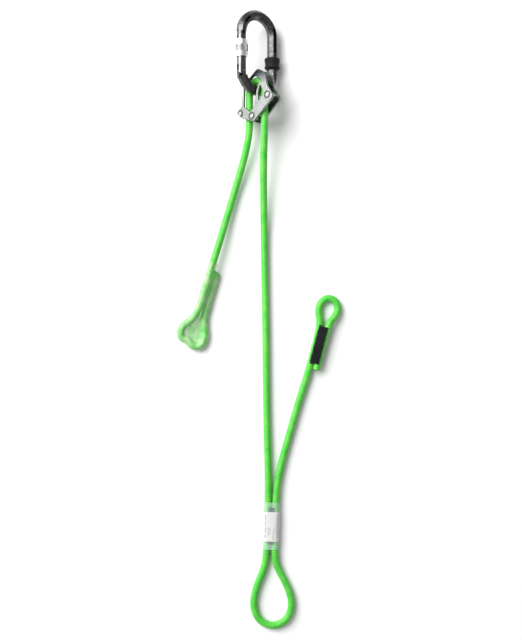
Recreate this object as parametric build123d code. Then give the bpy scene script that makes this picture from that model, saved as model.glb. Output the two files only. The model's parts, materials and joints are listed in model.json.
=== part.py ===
from build123d import *

import math
import os

# Adjustable double lanyard: one length of rope that runs over a screw-lock carabiner inside a
# two-plate adjuster, with a sewn stop on its tail, a harness loop and a second arm with a sewn eye.
# It lies flat on the ground, which is z = 0, with +Z up. The hardware stands at the origin, the
# carabiner's closed bow points to +Y and the rope runs towards -Y. All sizes are in millimetres.

# ---- driving dimensions: rope and sewn ends
ROPE_DIAMETER = 9.0
STRAND_GAP = 0.2
CUT_GAP = 0.05
TUBE_ARC_SHARE = 0.45

# ---- driving dimensions: carabiner
STOCK = 12.0
STOCK_CHAMFER = 3.5
STOCK_ROUNDING = 0.7
BOW_RADIUS = 23.5
STRAIGHT = 45.6
CARABINER_YAW = 36.5
HUB = (-0.8, -29.5, 23.8)
GATE_DIAMETER = 11.4
PIVOT_HEIGHT = 21.2
PIVOT_PIN_DIAMETER = 3.2
PIVOT_PIN_SINK = 0.4
PIVOT_PIN_CHAMFER = 0.3
NOSE_GAP = 0.4
NOSE_STUB_DIAMETER = 11.2
NOSE_STUB_LENGTH = 3.7
NOSE_STUB_ROOT = 0.5
KEY_NECK = 3.6
KEY_BULB = 4.4
KEY_DEPTH = 3.1
KEY_GAP = 0.25
KEY_SPREAD = 6.5
KEY_ROOT = 1.5
TANG_THICKNESS = 4.2
TANG_RADIUS = 5.0
TANG_RISE = 4.0
TANG_SLOPE = 1 / 3
FORK_GAP = 0.2
FORK_DEPTH = 2.6
SHOULDER_GAP = 0.4
RUNNING_GAP = 0.05
PLUNGER_DIAMETER = 3.6
PLUNGER_LENGTH = 7.0
PLUNGER_SEAT = 6.1
SPRING_SLACK = 0.4
SPRING_WIRE = 0.5
SPRING_LENGTH = 9.0
SPRING_TURNS = 8
SLEEVE_DIAMETER = 16.2
SLEEVE_LENGTH = 20.8
SLEEVE_DROP = 6.3
SLEEVE_CHAMFER = 1.3
KNURL_PROUD = 0.3
KNURL_FROM = 6.2
KNURL_LENGTH = 8.0
KNURL_CHAMFER = 0.25
KEEPER_DIAMETER = 17.4
KEEPER_RIM = 1.0
KEEPER_EDGE = 1.2
KEEPER_LENGTH = 14.3
KEEPER_BOTTOM = 28.8
KEEPER_GAP = 0.1
POCKET_WIDTH = 3.6
POCKET_DEPTH = 1.0
POCKET_REACH = 20.0
POCKET_BEND = 26.0
BASKET_TURN = 160.0

# ---- driving dimensions: adjuster
ADJUSTER_YAW = -37.5
PLATE_THICKNESS = 3.0
PLATE_GAP = 12.0
PLATE_ROUNDING = 0.7
BASKET_GAP = 1.3
MAIN_LEG = 13.0
TAIL_LEG = 31.0
MAIN_EXIT = 42.5
TAIL_EXIT = 48.5
SEAM_GAP = 0.1
RIVET_DIAMETER = 4.0
RIVET_HEAD = 5.4
RIVET_HEAD_HEIGHT = 0.9
RECESS_GAP = 0.7
RECESS_DEPTH = 0.5
SPACER_DIAMETER = 6.5
SPACER_GAP = 0.25
RIGHT_RIVET = (22.4, -9.4)
LOWER_RIVET = (-1.6, -32.4)
LEFT_RIVET_HEIGHT = -27.5

# Plate outline and windows: (across, up, corner radius), seen from the front plate's outer face.
PLATE_OUTLINE = [
    (7.5, 24.9, 5.0),
    (-15.2, 7.0, 6.0),
    (-17.4, -18.4, 6.0),
    (-26.3, -26.6, 3.4),
    (-16.8, -33.7, 5.0),
    (1.6, -39.6, 3.6),
    (31.6, -12.6, 5.6),
    (21.4, 2.4, 8.0),
    (19.2, 17.2, 3.0),
]
MAIN_WINDOW = [
    (2.2, 17.2, 4.0),
    (12.3, 10.2, 1.6),
    (5.6, -1.4, 14.0),
    (3.1, -20.7, 1.6),
    (-4.4, -27.2, 1.8),
    (-14.2, -19.6, 2.4),
    (-13.2, 4.8, 3.0),
]
SMALL_WINDOW = [(11.3, 4.9, 1.2), (16.6, -6.2, 1.4), (8.4, -16.0, 0.9), (8.0, -5.0, 6.0)]
REAR_WINDOW = [
    (2.2, 17.2, 4.0),
    (12.6, 10.2, 2.4),
    (16.6, -6.2, 2.4),
    (3.1, -20.7, 3.0),
    (-4.4, -27.2, 1.8),
    (-14.2, -19.6, 2.4),
    (-13.2, 4.8, 3.0),
]

# ---- driving dimensions: sewn ends, each a pair of strands on one axis
LABEL_SLEEVE_TOP = (17.7, -541.1, 5.9)
LABEL_SLEEVE_BOTTOM = (16.1, -600.1, 5.9)
LABEL_SLEEVE_WALL = 0.8
LABEL_LENGTH = 37.0
LABEL_FROM_TOP = 11.8
LABEL_THICKNESS = 0.25
FILM_GAP = 0.1
LABEL_STITCH_LENGTH = 46.0
TAIL_SLEEVE_TOP = (-48.8, -241.7, 7.0)
TAIL_SLEEVE_BOTTOM = (-66.3, -299.1, 7.0)
TAIL_SLEEVE_WALL = 0.6
TAIL_ROLL = 20.0
TAIL_STITCH_LENGTH = 40.0
ARM_SEAM_CENTRE = (76.7, -344.6, 7.0)
ARM_HEADING = 14.5
ARM_ROLL = -20.4
ARM_STITCH_LENGTH = 43.0
ARM_STITCH_WIDTH = 11.6
ARM_STITCH_PROUD = 0.7
STITCH_WEB = 0.8

# ---- routes of the rope, from the adjuster out to each end
MAIN_ROUTE = [
    (7.6, -101.0, 25.4),
    (7.2, -134.0, 17.2),
    (7.5, -170.0, 9.6),
    (8.1, -212.0, 5.6),
    (9.0, -262.0, 4.9),
    (10.1, -322.0, 4.8),
    (10.7, -388.0, 4.8),
    (11.5, -446.0, 4.8),
    (13.62, -522.0, 5.9),
    (12.3, -570.5, 5.9),
]
HARNESS_ROUTE = [
    (12.3, -570.5, 5.9),
    (11.27, -608.5, 5.9),
    (7.2, -627.0, 4.9),
    (-1.8, -648.0, 4.8),
    (-6.4, -669.0, 4.8),
    (-0.2, -689.5, 4.8),
    (19.0, -698.6, 4.8),
    (38.4, -689.0, 4.8),
    (43.7, -668.0, 4.8),
    (37.4, -647.0, 4.8),
    (26.0, -626.5, 4.9),
    (20.45, -609.5, 5.9),
    (21.5, -570.7, 5.9),
]
ARM_ROUTE = [
    (21.5, -570.6, 5.9),
    (22.58, -531.0, 5.9),
    (27.6, -500.0, 4.9),
    (40.0, -455.0, 4.8),
    (53.0, -410.0, 4.8),
    (63.01, -380.31, 5.4),
    (72.53, -343.52, 5.4),
]
ARM_EYE_ROUTE = [
    (72.53, -343.52, 5.4),
    (79.29, -317.38, 5.4),
    (75.8, -303.0, 5.1),
    (78.2, -289.6, 4.8),
    (88.6, -282.8, 4.8),
    (98.6, -288.3, 4.8),
    (101.2, -299.8, 5.0),
    (96.4, -309.6, 6.6),
    (88.14, -317.6, 8.6),
    (73.86, -372.79, 8.6),
]
TAIL_ROUTE = [
    (-13.6, -98.0, 13.2),
    (-20.0, -122.0, 9.0),
    (-29.8, -156.0, 6.2),
    (-39.2, -192.0, 6.7),
    (-48.27, -225.13, 8.57),
    (-64.6, -278.7, 8.57),
]
TAIL_EYE_ROUTE = [
    (-64.6, -278.7, 8.57),
    (-72.77, -305.48, 8.57),
    (-85.2, -315.0, 9.8),
    (-96.7, -323.5, 10.2),
    (-98.2, -334.5, 9.6),
    (-91.7, -341.5, 8.4),
    (-83.2, -348.0, 6.6),
    (-73.7, -347.0, 5.4),
    (-68.0, -337.5, 5.2),
    (-66.8, -325.0, 5.2),
    (-65.08, -309.92, 5.43),
    (-48.17, -254.44, 5.43),
]

# ---- derived sizes
ROPE_RADIUS = ROPE_DIAMETER / 2
STRAND_SPACING = ROPE_DIAMETER + STRAND_GAP
CARABINER = Pos(*HUB) * Rot(0, CARABINER_YAW, 0)
ADJUSTER = Pos(*HUB) * Rot(0, ADJUSTER_YAW, 0)
TOP_CENTRE = BOW_RADIUS + STRAIGHT
NOSE_FACE_RADIUS = TOP_CENTRE - PIVOT_HEIGHT - NOSE_STUB_LENGTH
GATE_TOP_RADIUS = NOSE_FACE_RADIUS - NOSE_GAP
SLEEVE_BOTTOM = PIVOT_HEIGHT + GATE_TOP_RADIUS - SLEEVE_DROP - SLEEVE_LENGTH
BEND_RADIUS = STOCK / 2 + BASKET_GAP + ROPE_RADIUS
LEFT_RIVET = (-BEND_RADIUS - ROPE_RADIUS - SPACER_GAP - SPACER_DIAMETER / 2, LEFT_RIVET_HEIGHT)
RIVETS = {"right": RIGHT_RIVET, "lower": LOWER_RIVET, "left": LEFT_RIVET}
PIVOT = Pos(-BOW_RADIUS, PIVOT_HEIGHT, 0)
GATE_AXIS = Pos(-BOW_RADIUS, 0, 0) * Rot(-90, 0, 0)


def write(name, shape):
    export_step(shape, f"parts/{name}.step")


def upright(radius, bottom, top):
    """A round bar on the gate's axis, between two heights above the basket."""
    bar = Cylinder(radius, top - bottom, align=(Align.CENTER, Align.CENTER, Align.MIN))
    return GATE_AXIS * Pos(0, 0, bottom) * bar


def rounded_outline(corners):
    """A flat face through the corners, each rounded to its own radius."""
    face = make_face(Polyline(*[(x, y) for x, y, _ in corners], close=True))
    for x, y, radius in corners:
        vertex = face.vertices().sort_by_distance((x, y, 0))[0]
        face = fillet(vertex, radius)
    return face


# ---- carabiner
def stock_section():
    """The forged bar's section: a square with broad chamfers and softened edges."""
    section = chamfer(Rectangle(STOCK, STOCK).vertices(), STOCK_CHAMFER)
    return fillet(section.vertices(), STOCK_ROUNDING)


def bent(section, centre_height, start, turn):
    """The section swept about the bow's end, from one angle through a turn, both in degrees."""
    placed = Plane.XZ * Pos(BOW_RADIUS, 0) * section
    return Pos(0, centre_height, 0) * Rot(0, 0, start) * revolve(placed, axis=Axis.Z, revolution_arc=turn)


def straight(section, side, bottom, top):
    """The section extruded upright between two heights; side is -1 for the gate, 1 for the spine."""
    bar = Rot(90, 0, 0) * extrude(section, (top - bottom) / 2, both=True)
    return Pos(side * BOW_RADIUS, (top + bottom) / 2, 0) * bar


def forged_pockets():
    """Shallow pockets in both faces of the spine and of the nose's shoulder."""
    foot = TOP_CENTRE - POCKET_REACH
    pockets = []
    for face in (-1, 1):
        groove = Pos(0, face * STOCK / 2) * Rectangle(POCKET_WIDTH, 2 * POCKET_DEPTH)
        pockets.append(straight(groove, 1, foot, TOP_CENTRE) + bent(groove, TOP_CENTRE, 0, POCKET_BEND))
        pockets.append(bent(groove, TOP_CENTRE, 180 - 2 * POCKET_BEND, POCKET_BEND))
    return pockets


def key(neck, bulb, depth, spread, top):
    """The nose's key, turned about the gate's pivot so that the gate swings clear along it."""
    bulb_at = GATE_TOP_RADIUS - depth
    profile = Pos(0, bulb_at) * Circle(bulb)
    profile += Pos(0, (bulb_at + top) / 2) * Rectangle(2 * neck, top - bulb_at)
    upright_plane = Plane((0, 0, 0), x_dir=(0, 0, 1), z_dir=(-1, 0, 0))
    turned = revolve(upright_plane * profile, axis=Axis.Z, revolution_arc=2 * spread)
    return PIVOT * Rot(0, 0, -spread) * turned


def tang():
    """The tongue that the gate's fork turns on; its sloped top pushes the plunger back."""
    foot = Pos(-BOW_RADIUS, PIVOT_HEIGHT - TANG_RADIUS) * Rectangle(2 * TANG_RADIUS, 2 * TANG_RADIUS)
    head = Pos(-BOW_RADIUS, PIVOT_HEIGHT) * Circle(TANG_RADIUS)
    wide = 4 * TANG_RADIUS
    low, high = TANG_RISE - wide * TANG_SLOPE, TANG_RISE + wide * TANG_SLOPE
    slope = Polyline((-wide, low), (wide, high), (wide, 2 * high), (-wide, 2 * high), close=True)
    reach = Pos(-BOW_RADIUS, PIVOT_HEIGHT) * make_face(slope)
    return extrude(foot + head - reach, TANG_THICKNESS / 2, both=True)


def carabiner_body():
    """The forged bow, spine and basket with the key nose and the hinge tang."""
    section = stock_section()
    bar = straight(section, 1, BOW_RADIUS, TOP_CENTRE) + bent(section, TOP_CENTRE, 0, 180)
    bar += bent(section, BOW_RADIUS, -BASKET_TURN, BASKET_TURN)
    for pocket in forged_pockets():
        bar -= pocket
    bar -= PIVOT * Cylinder(GATE_DIAMETER / 2 + SHOULDER_GAP, 2 * STOCK)
    stub_foot = TOP_CENTRE - 2 * NOSE_STUB_LENGTH
    stub = upright(NOSE_STUB_DIAMETER / 2, stub_foot, TOP_CENTRE + NOSE_STUB_ROOT)
    stub -= PIVOT * Cylinder(NOSE_FACE_RADIUS, 2 * STOCK)
    body = bar + stub + tang()
    body += key(KEY_NECK / 2, KEY_BULB / 2, KEY_DEPTH, KEY_SPREAD, NOSE_FACE_RADIUS + KEY_ROOT)
    return body - PIVOT * Cylinder(PIVOT_PIN_DIAMETER / 2, 2 * STOCK)


def pivot_pin():
    """The rivet that the gate turns on."""
    pin = Cylinder(PIVOT_PIN_DIAMETER / 2, GATE_DIAMETER - 2 * PIVOT_PIN_SINK)
    return PIVOT * chamfer(pin.edges().filter_by(GeomType.CIRCLE), PIVOT_PIN_CHAMFER)


def fork_slot():
    """The round-topped slot in the gate's foot that takes the tang."""
    half = TANG_THICKNESS / 2 + FORK_GAP
    top = PIVOT_HEIGHT + TANG_RADIUS + FORK_DEPTH - half
    slot = Pos(-BOW_RADIUS, top, 0) * Rot(0, 90, 0) * Cylinder(half, 2 * STOCK)
    return slot + Pos(-BOW_RADIUS, top / 2, 0) * Box(2 * STOCK, top, 2 * half)


def gate():
    """The gate bar with its fork, pivot hole, key slot and plunger bore."""
    bar = upright(GATE_DIAMETER / 2, PIVOT_HEIGHT, PIVOT_HEIGHT + 2 * GATE_TOP_RADIUS)
    bar &= PIVOT * Cylinder(GATE_TOP_RADIUS, 2 * STOCK)
    foot = PIVOT * Cylinder(GATE_DIAMETER / 2, 2 * STOCK) & upright(GATE_DIAMETER / 2, 0, PIVOT_HEIGHT)
    bar = bar + foot - fork_slot()
    bar -= PIVOT * Cylinder(PIVOT_PIN_DIAMETER / 2 + RUNNING_GAP, 2 * STOCK)
    neck, bulb = KEY_NECK / 2 + KEY_GAP, KEY_BULB / 2 + KEY_GAP
    bar -= key(neck, bulb, KEY_DEPTH, 3 * KEY_SPREAD, NOSE_FACE_RADIUS + KEY_ROOT)
    bore_top = PIVOT_HEIGHT + PLUNGER_SEAT + PLUNGER_LENGTH + SPRING_LENGTH
    return bar - upright(PLUNGER_DIAMETER / 2 + RUNNING_GAP, PIVOT_HEIGHT + TANG_RADIUS, bore_top)


def plunger():
    """The round-nosed pusher between the tang and the gate's spring."""
    seat = PIVOT_HEIGHT + PLUNGER_SEAT
    shaft = upright(PLUNGER_DIAMETER / 2, seat, seat + PLUNGER_LENGTH - PLUNGER_DIAMETER / 2)
    return shaft + Pos(-BOW_RADIUS, seat, 0) * Sphere(PLUNGER_DIAMETER / 2)


def gate_spring():
    """The coil spring above the plunger, with half a wire of room at each end."""
    length = SPRING_LENGTH + PLUNGER_DIAMETER / 2 - 3 * SPRING_WIRE
    foot = PIVOT_HEIGHT + PLUNGER_SEAT + PLUNGER_LENGTH - PLUNGER_DIAMETER / 2 + 1.5 * SPRING_WIRE
    radius = (PLUNGER_DIAMETER - SPRING_SLACK - SPRING_WIRE) / 2
    coil = Helix(pitch=length / SPRING_TURNS, height=length, radius=radius)
    wire = sweep(Plane(coil @ 0, z_dir=coil % 0) * Circle(SPRING_WIRE / 2), path=coil, is_frenet=True)
    return GATE_AXIS * Pos(0, 0, foot) * wire


def locking_sleeve():
    """The screw sleeve: two smooth bands with a knurled one between them."""
    outer = upright(SLEEVE_DIAMETER / 2, SLEEVE_BOTTOM, SLEEVE_BOTTOM + SLEEVE_LENGTH)
    outer = chamfer(outer.edges().filter_by(GeomType.CIRCLE), SLEEVE_CHAMFER)
    knurl_foot = SLEEVE_BOTTOM + KNURL_FROM
    knurl = upright(SLEEVE_DIAMETER / 2 + KNURL_PROUD, knurl_foot, knurl_foot + KNURL_LENGTH)
    bore = upright(GATE_DIAMETER / 2 + RUNNING_GAP, 0, 2 * TOP_CENTRE)
    return outer + chamfer(knurl.edges().filter_by(GeomType.CIRCLE), KNURL_CHAMFER) - bore


def rubber_keeper():
    """The rubber collar on the spine, waisted between its two rims."""
    half, waist = KEEPER_LENGTH / 2, KEEPER_DIAMETER / 2
    rim = waist + KEEPER_RIM
    upper = [(0, half), (waist - KEEPER_EDGE, half), (rim, half - 2 * KEEPER_EDGE)]
    lower = [(rim, 1.6 - half), (rim - KEEPER_EDGE / 2, -half), (0, -half)]
    profile = make_face(Polyline(*upper, (waist, 0.5), *lower, close=True))
    ring = revolve(Plane.XZ * profile, axis=Axis.Z)
    hole = offset(stock_section(), KEEPER_GAP)
    ring -= extrude(hole, half + 1, both=True)
    return Pos(BOW_RADIUS, KEEPER_BOTTOM + half, 0) * Rot(90, 0, 0) * ring


# ---- adjuster
def side_plate(windows, side):
    """One side plate; side is +1 for the front one and -1 for the rear one."""
    face = rounded_outline(PLATE_OUTLINE)
    for window in windows:
        face -= rounded_outline(window)
    plate = extrude(face, PLATE_THICKNESS)
    outer = plate.faces().sort_by(Axis.Z)[-1]
    plate = fillet(outer.edges(), PLATE_ROUNDING)
    for across, up in RIVETS.values():
        plate -= Pos(across, up, PLATE_THICKNESS) * Cylinder(RIVET_HEAD / 2 + RECESS_GAP, 2 * RECESS_DEPTH)
        plate -= Pos(across, up, 0) * Cylinder(RIVET_DIAMETER / 2 + CUT_GAP, 4 * PLATE_THICKNESS)
    if side < 0:
        plate = mirror(plate, about=Plane.XY)
    return ADJUSTER * Pos(0, 0, side * PLATE_GAP / 2) * plate


def rivet(place):
    """A rivet with a low domed head at each plate's outer face."""
    seat = PLATE_GAP / 2 + PLATE_THICKNESS - RECESS_DEPTH
    shaft = Cylinder(RIVET_DIAMETER / 2, 2 * seat)
    head = Cylinder(RIVET_HEAD / 2, RIVET_HEAD_HEIGHT, align=(Align.CENTER, Align.CENTER, Align.MIN))
    head = fillet(head.edges().sort_by(Axis.Z)[-1], 0.6 * RIVET_HEAD_HEIGHT)
    whole = shaft + Pos(0, 0, seat) * head + Pos(0, 0, -seat) * Rot(180, 0, 0) * head
    return ADJUSTER * Pos(*place, 0) * whole


def spacer(place):
    """The tube round a rivet that holds the plates apart."""
    tube = Cylinder(SPACER_DIAMETER / 2, PLATE_GAP) - Cylinder(RIVET_DIAMETER / 2 + CUT_GAP, PLATE_GAP)
    return ADJUSTER * Pos(*place, 0) * tube


# ---- rope
def rope_tube(route, name):
    """A plain tube along the route, whose arcs are as large as its runs allow."""
    points = [Vector(*p) for p in route]
    runs = [b - a for a, b in zip(points, points[1:])]
    radii = []
    for before, after in zip(runs, runs[1:]):
        half_turn = math.radians(before.get_angle(after)) / 2
        radii.append(TUBE_ARC_SHARE * min(before.length, after.length) / math.tan(half_turn))
    path = FilletPolyline(*points, radius=radii)
    section = Plane(path @ 0, z_dir=path % 0) * Circle(ROPE_RADIUS)
    tube = sweep(section, path=path)
    share = tube.volume / (math.pi * ROPE_RADIUS**2 * path.length)
    print(f"{name}: length {path.length:.1f}, volume share {share:.3f}, radii {[round(r) for r in radii]}")
    return tube


def adjuster_point(across, up):
    """A point in the middle plane of the adjuster, as the rope's routes use it."""
    return tuple((ADJUSTER * Pos(across, up, 0)).position)


def rope_bend():
    """The rope's turn over the carabiner between the plates."""
    main_leg = Line((BEND_RADIUS, -MAIN_LEG), (BEND_RADIUS, 0))
    turn = CenterArc((0, 0), BEND_RADIUS, 0, 180)
    tail_leg = Line((-BEND_RADIUS, 0), (-BEND_RADIUS, -TAIL_LEG))
    path = Wire([*main_leg.edges(), *turn.edges(), *tail_leg.edges()])
    section = Plane(path @ 0, z_dir=path % 0) * Circle(ROPE_RADIUS)
    print(f"rope_bend: length {path.length:.1f}, radii {[BEND_RADIUS]}")
    return ADJUSTER * sweep(section, path=path)


# ---- sewn ends
def pair_frame(top, bottom, roll):
    """A frame midway between two points: X across the strands, Y up along them, Z off the ground."""
    start, end = Vector(*top), Vector(*bottom)
    along = (start - end).normalized()
    across = Vector(along.Y, -along.X, 0)
    plane = Plane((start + end) / 2, x_dir=across, z_dir=across.cross(along))
    return Location(plane) * Rot(0, roll, 0), (start - end).length


def stadium(thickness):
    """The section round two strands side by side, a given distance outside them."""
    return SlotOverall(STRAND_SPACING + ROPE_DIAMETER + 2 * thickness, ROPE_DIAMETER + 2 * thickness)


def wrap(frame, length, inner, wall):
    """A closed wrap round a pair of strands, along the frame's Y axis."""
    ring = stadium(inner + wall) - stadium(inner)
    return frame * Rot(-90, 0, 0) * extrude(ring, length / 2, both=True)


def strand_pair(length, radius):
    """The room that two straight strands take, along the Y axis."""
    bar = Rot(90, 0, 0) * Cylinder(radius, length)
    return Pos(-STRAND_SPACING / 2, 0, 0) * bar + Pos(STRAND_SPACING / 2, 0, 0) * bar


def stitching(frame, length, width, thickness):
    """Sewing thread on both faces of a pair of strands, as two solids."""
    thread = Box(width, length, 2 * thickness) - Box(width, length, 2 * STITCH_WEB)
    return frame * (thread - strand_pair(2 * length, ROPE_RADIUS + CUT_GAP))


def label_end():
    """The transparent sleeve over the harness loop's neck, with its label and stitching."""
    frame, length = pair_frame(LABEL_SLEEVE_TOP, LABEL_SLEEVE_BOTTOM, 0)
    inner = FILM_GAP + LABEL_THICKNESS + FILM_GAP
    write("label_sleeve", wrap(frame, length, inner, LABEL_SLEEVE_WALL))
    at = frame * Pos(0, length / 2 - LABEL_FROM_TOP - LABEL_LENGTH / 2, 0)
    write("label", wrap(at, LABEL_LENGTH, FILM_GAP, LABEL_THICKNESS))
    write("label_stitching", stitching(frame, LABEL_STITCH_LENGTH, STRAND_SPACING, ROPE_RADIUS))


def tail_end():
    """The thin sleeve over the tail's sewn end, with the stitching under it."""
    frame, length = pair_frame(TAIL_SLEEVE_TOP, TAIL_SLEEVE_BOTTOM, TAIL_ROLL)
    write("tail_sleeve", wrap(frame, length, FILM_GAP, TAIL_SLEEVE_WALL))
    write("tail_stitching", stitching(frame, TAIL_STITCH_LENGTH, STRAND_SPACING, ROPE_RADIUS))


def arm_end():
    """The bare stitching that closes the arm's eye."""
    heading = math.radians(ARM_HEADING)
    reach = Vector(math.sin(heading), math.cos(heading), 0) * ARM_STITCH_LENGTH
    top, bottom = Vector(*ARM_SEAM_CENTRE) + reach / 2, Vector(*ARM_SEAM_CENTRE) - reach / 2
    frame, length = pair_frame(tuple(top), tuple(bottom), ARM_ROLL)
    write("arm_stitching", stitching(frame, length, ARM_STITCH_WIDTH, ROPE_RADIUS + ARM_STITCH_PROUD))


def main():
    os.makedirs("parts", exist_ok=True)
    write("carabiner_body", CARABINER * carabiner_body())
    write("gate_pivot_pin", CARABINER * pivot_pin())
    write("gate", CARABINER * gate())
    write("gate_plunger", CARABINER * plunger())
    write("gate_spring", CARABINER * gate_spring())
    write("locking_sleeve", CARABINER * locking_sleeve())
    write("rubber_keeper", CARABINER * rubber_keeper())
    write("front_side_plate", side_plate([MAIN_WINDOW, SMALL_WINDOW], 1))
    write("rear_side_plate", side_plate([REAR_WINDOW], -1))
    for name, place in RIVETS.items():
        write(f"{name}_rivet", rivet(place))
        write(f"{name}_spacer", spacer(place))
    write("rope_bend", rope_bend())
    main_start = [adjuster_point(BEND_RADIUS, -reach) for reach in (MAIN_LEG + SEAM_GAP, MAIN_EXIT)]
    tail_start = [adjuster_point(-BEND_RADIUS, -reach) for reach in (TAIL_LEG + SEAM_GAP, TAIL_EXIT)]
    write("main_strand", rope_tube([*main_start, *MAIN_ROUTE], "main_strand"))
    write("harness_loop", rope_tube(HARNESS_ROUTE, "harness_loop"))
    write("arm_strand", rope_tube(ARM_ROUTE, "arm_strand"))
    write("arm_eye", rope_tube(ARM_EYE_ROUTE, "arm_eye"))
    write("tail_strand", rope_tube([*tail_start, *TAIL_ROUTE], "tail_strand"))
    write("tail_eye", rope_tube(TAIL_EYE_ROUTE, "tail_eye"))
    label_end()
    tail_end()
    arm_end()


main()
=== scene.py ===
"""The looks of an adjustable rope lanyard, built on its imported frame.

One bright green rope runs over a screw-lock carabiner inside a two-plate adjuster. Its tail ends in
a sewn eye under a clear film, its main strand in a sewn harness loop under a labelled sleeve, and a
side arm in a small sewn eye. It lies on a pale floor. All sizes are in metres.
"""

import json
import logging
import math
from collections.abc import Callable, Iterator
from contextlib import contextmanager
from dataclasses import dataclass
from enum import Enum
from typing import Union

import bpy
from mathutils import Matrix, Vector

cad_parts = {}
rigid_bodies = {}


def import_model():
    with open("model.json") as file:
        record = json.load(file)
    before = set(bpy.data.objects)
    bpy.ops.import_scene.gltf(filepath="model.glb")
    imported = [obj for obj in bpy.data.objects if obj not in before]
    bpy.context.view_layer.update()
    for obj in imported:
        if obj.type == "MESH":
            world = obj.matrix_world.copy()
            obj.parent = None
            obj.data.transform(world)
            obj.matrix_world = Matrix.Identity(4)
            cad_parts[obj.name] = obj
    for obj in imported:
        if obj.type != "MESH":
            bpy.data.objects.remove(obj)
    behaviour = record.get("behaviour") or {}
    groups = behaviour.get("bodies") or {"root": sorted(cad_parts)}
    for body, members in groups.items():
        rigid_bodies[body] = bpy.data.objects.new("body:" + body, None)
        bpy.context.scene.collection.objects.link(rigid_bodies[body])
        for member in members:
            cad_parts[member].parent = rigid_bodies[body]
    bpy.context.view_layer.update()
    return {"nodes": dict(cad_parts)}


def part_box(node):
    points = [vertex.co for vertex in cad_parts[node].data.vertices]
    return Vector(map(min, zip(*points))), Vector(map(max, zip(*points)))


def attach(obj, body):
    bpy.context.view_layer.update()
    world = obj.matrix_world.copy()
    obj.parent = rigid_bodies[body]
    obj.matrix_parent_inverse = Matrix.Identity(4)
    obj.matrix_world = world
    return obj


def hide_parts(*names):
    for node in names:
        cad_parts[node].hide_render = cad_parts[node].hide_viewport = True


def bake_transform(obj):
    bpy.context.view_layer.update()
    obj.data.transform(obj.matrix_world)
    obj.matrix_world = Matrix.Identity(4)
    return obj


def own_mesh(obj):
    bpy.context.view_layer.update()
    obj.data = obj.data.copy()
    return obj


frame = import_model()

LOG = logging.getLogger("lanyard")
MM = 0.001
SHEATH_UV = "sheath"

Point = tuple[float, float, float]
Colour = tuple[float, float, float, float]
Wire = bpy.types.NodeSocket
Source = Union[bpy.types.NodeSocket, float, Colour]

HUB: Point = (-0.8 * MM, -29.5 * MM, 23.8 * MM)
CARABINER_YAW = 36.5
ADJUSTER_YAW = -37.5
ROPE_RADIUS = 4.5 * MM
STRAND_SPACING = 9.2 * MM
LABEL_TOP: Point = (0.0177, -0.5411, 0.0059)
LABEL_BOTTOM: Point = (0.0161, -0.6001, 0.0059)
LABEL_LENGTH = 37.0 * MM
LABEL_DROP = 11.8 * MM


# ---------------------------------------------------------------- routes of the rope, along the frame's own
MAIN_ROUTE: tuple[Point, ...] = (
    (0.00856, -0.0426, 0.03098),
    (0.00856, -0.0720, 0.03098),
    (0.0076, -0.1010, 0.0254),
    (0.0072, -0.1340, 0.0172),
    (0.0075, -0.1700, 0.0096),
    (0.0081, -0.2120, 0.0056),
    (0.0090, -0.2620, 0.0049),
    (0.0101, -0.3220, 0.0048),
    (0.0107, -0.3880, 0.0048),
    (0.0115, -0.4460, 0.0048),
    (0.01362, -0.5220, 0.0059),
    (0.0123, -0.5705, 0.0059),
)
HARNESS_ROUTE: tuple[Point, ...] = (
    (0.0123, -0.5705, 0.0059),
    (0.01127, -0.6085, 0.0059),
    (0.0072, -0.6270, 0.0049),
    (-0.0018, -0.6480, 0.0048),
    (-0.0064, -0.6690, 0.0048),
    (-0.0002, -0.6895, 0.0048),
    (0.0190, -0.6986, 0.0048),
    (0.0384, -0.6890, 0.0048),
    (0.0437, -0.6680, 0.0048),
    (0.0374, -0.6470, 0.0048),
    (0.0260, -0.6265, 0.0049),
    (0.02045, -0.6095, 0.0059),
    (0.0215, -0.5707, 0.0059),
)
ARM_ROUTE: tuple[Point, ...] = (
    (0.0215, -0.5706, 0.0059),
    (0.02258, -0.5310, 0.0059),
    (0.0276, -0.5000, 0.0049),
    (0.0400, -0.4550, 0.0048),
    (0.0530, -0.4100, 0.0048),
    (0.06301, -0.38031, 0.0054),
    (0.07253, -0.34352, 0.0054),
)
ARM_EYE_ROUTE: tuple[Point, ...] = (
    (0.07253, -0.34352, 0.0054),
    (0.07929, -0.31738, 0.0054),
    (0.0758, -0.3035, 0.0051),
    (0.0784, -0.2906, 0.0048),
    (0.0886, -0.2842, 0.0048),
    (0.0986, -0.2893, 0.0048),
    (0.1012, -0.2998, 0.0050),
    (0.0964, -0.3096, 0.0066),
    (0.08814, -0.3176, 0.0086),
    (0.07330, -0.37520, 0.0086),
)
TAIL_ROUTE: tuple[Point, ...] = (
    (-0.01016, -0.0606, 0.01662),
    (-0.01016, -0.0780, 0.01662),
    (-0.0136, -0.0980, 0.0132),
    (-0.0200, -0.1220, 0.0090),
    (-0.0304, -0.1560, 0.0064),
    (-0.0410, -0.1920, 0.0080),
    (-0.0502, -0.2240, 0.0116),
    (-0.0675, -0.2787, 0.0119),
)
TAIL_EYE_ROUTE: tuple[Point, ...] = (
    (-0.0675, -0.2787, 0.0119),
    (-0.0742, -0.3035, 0.0118),
    (-0.0848, -0.3140, 0.0110),
    (-0.0958, -0.3215, 0.0096),
    (-0.0972, -0.3352, 0.0078),
    (-0.0872, -0.3382, 0.0064),
    (-0.0818, -0.3462, 0.0056),
    (-0.0712, -0.3462, 0.0051),
    (-0.0664, -0.3362, 0.0049),
    (-0.0664, -0.3240, 0.0048),
    (-0.0688, -0.3085, 0.0048),
    (-0.0518, -0.2545, 0.0048),
)


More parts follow.
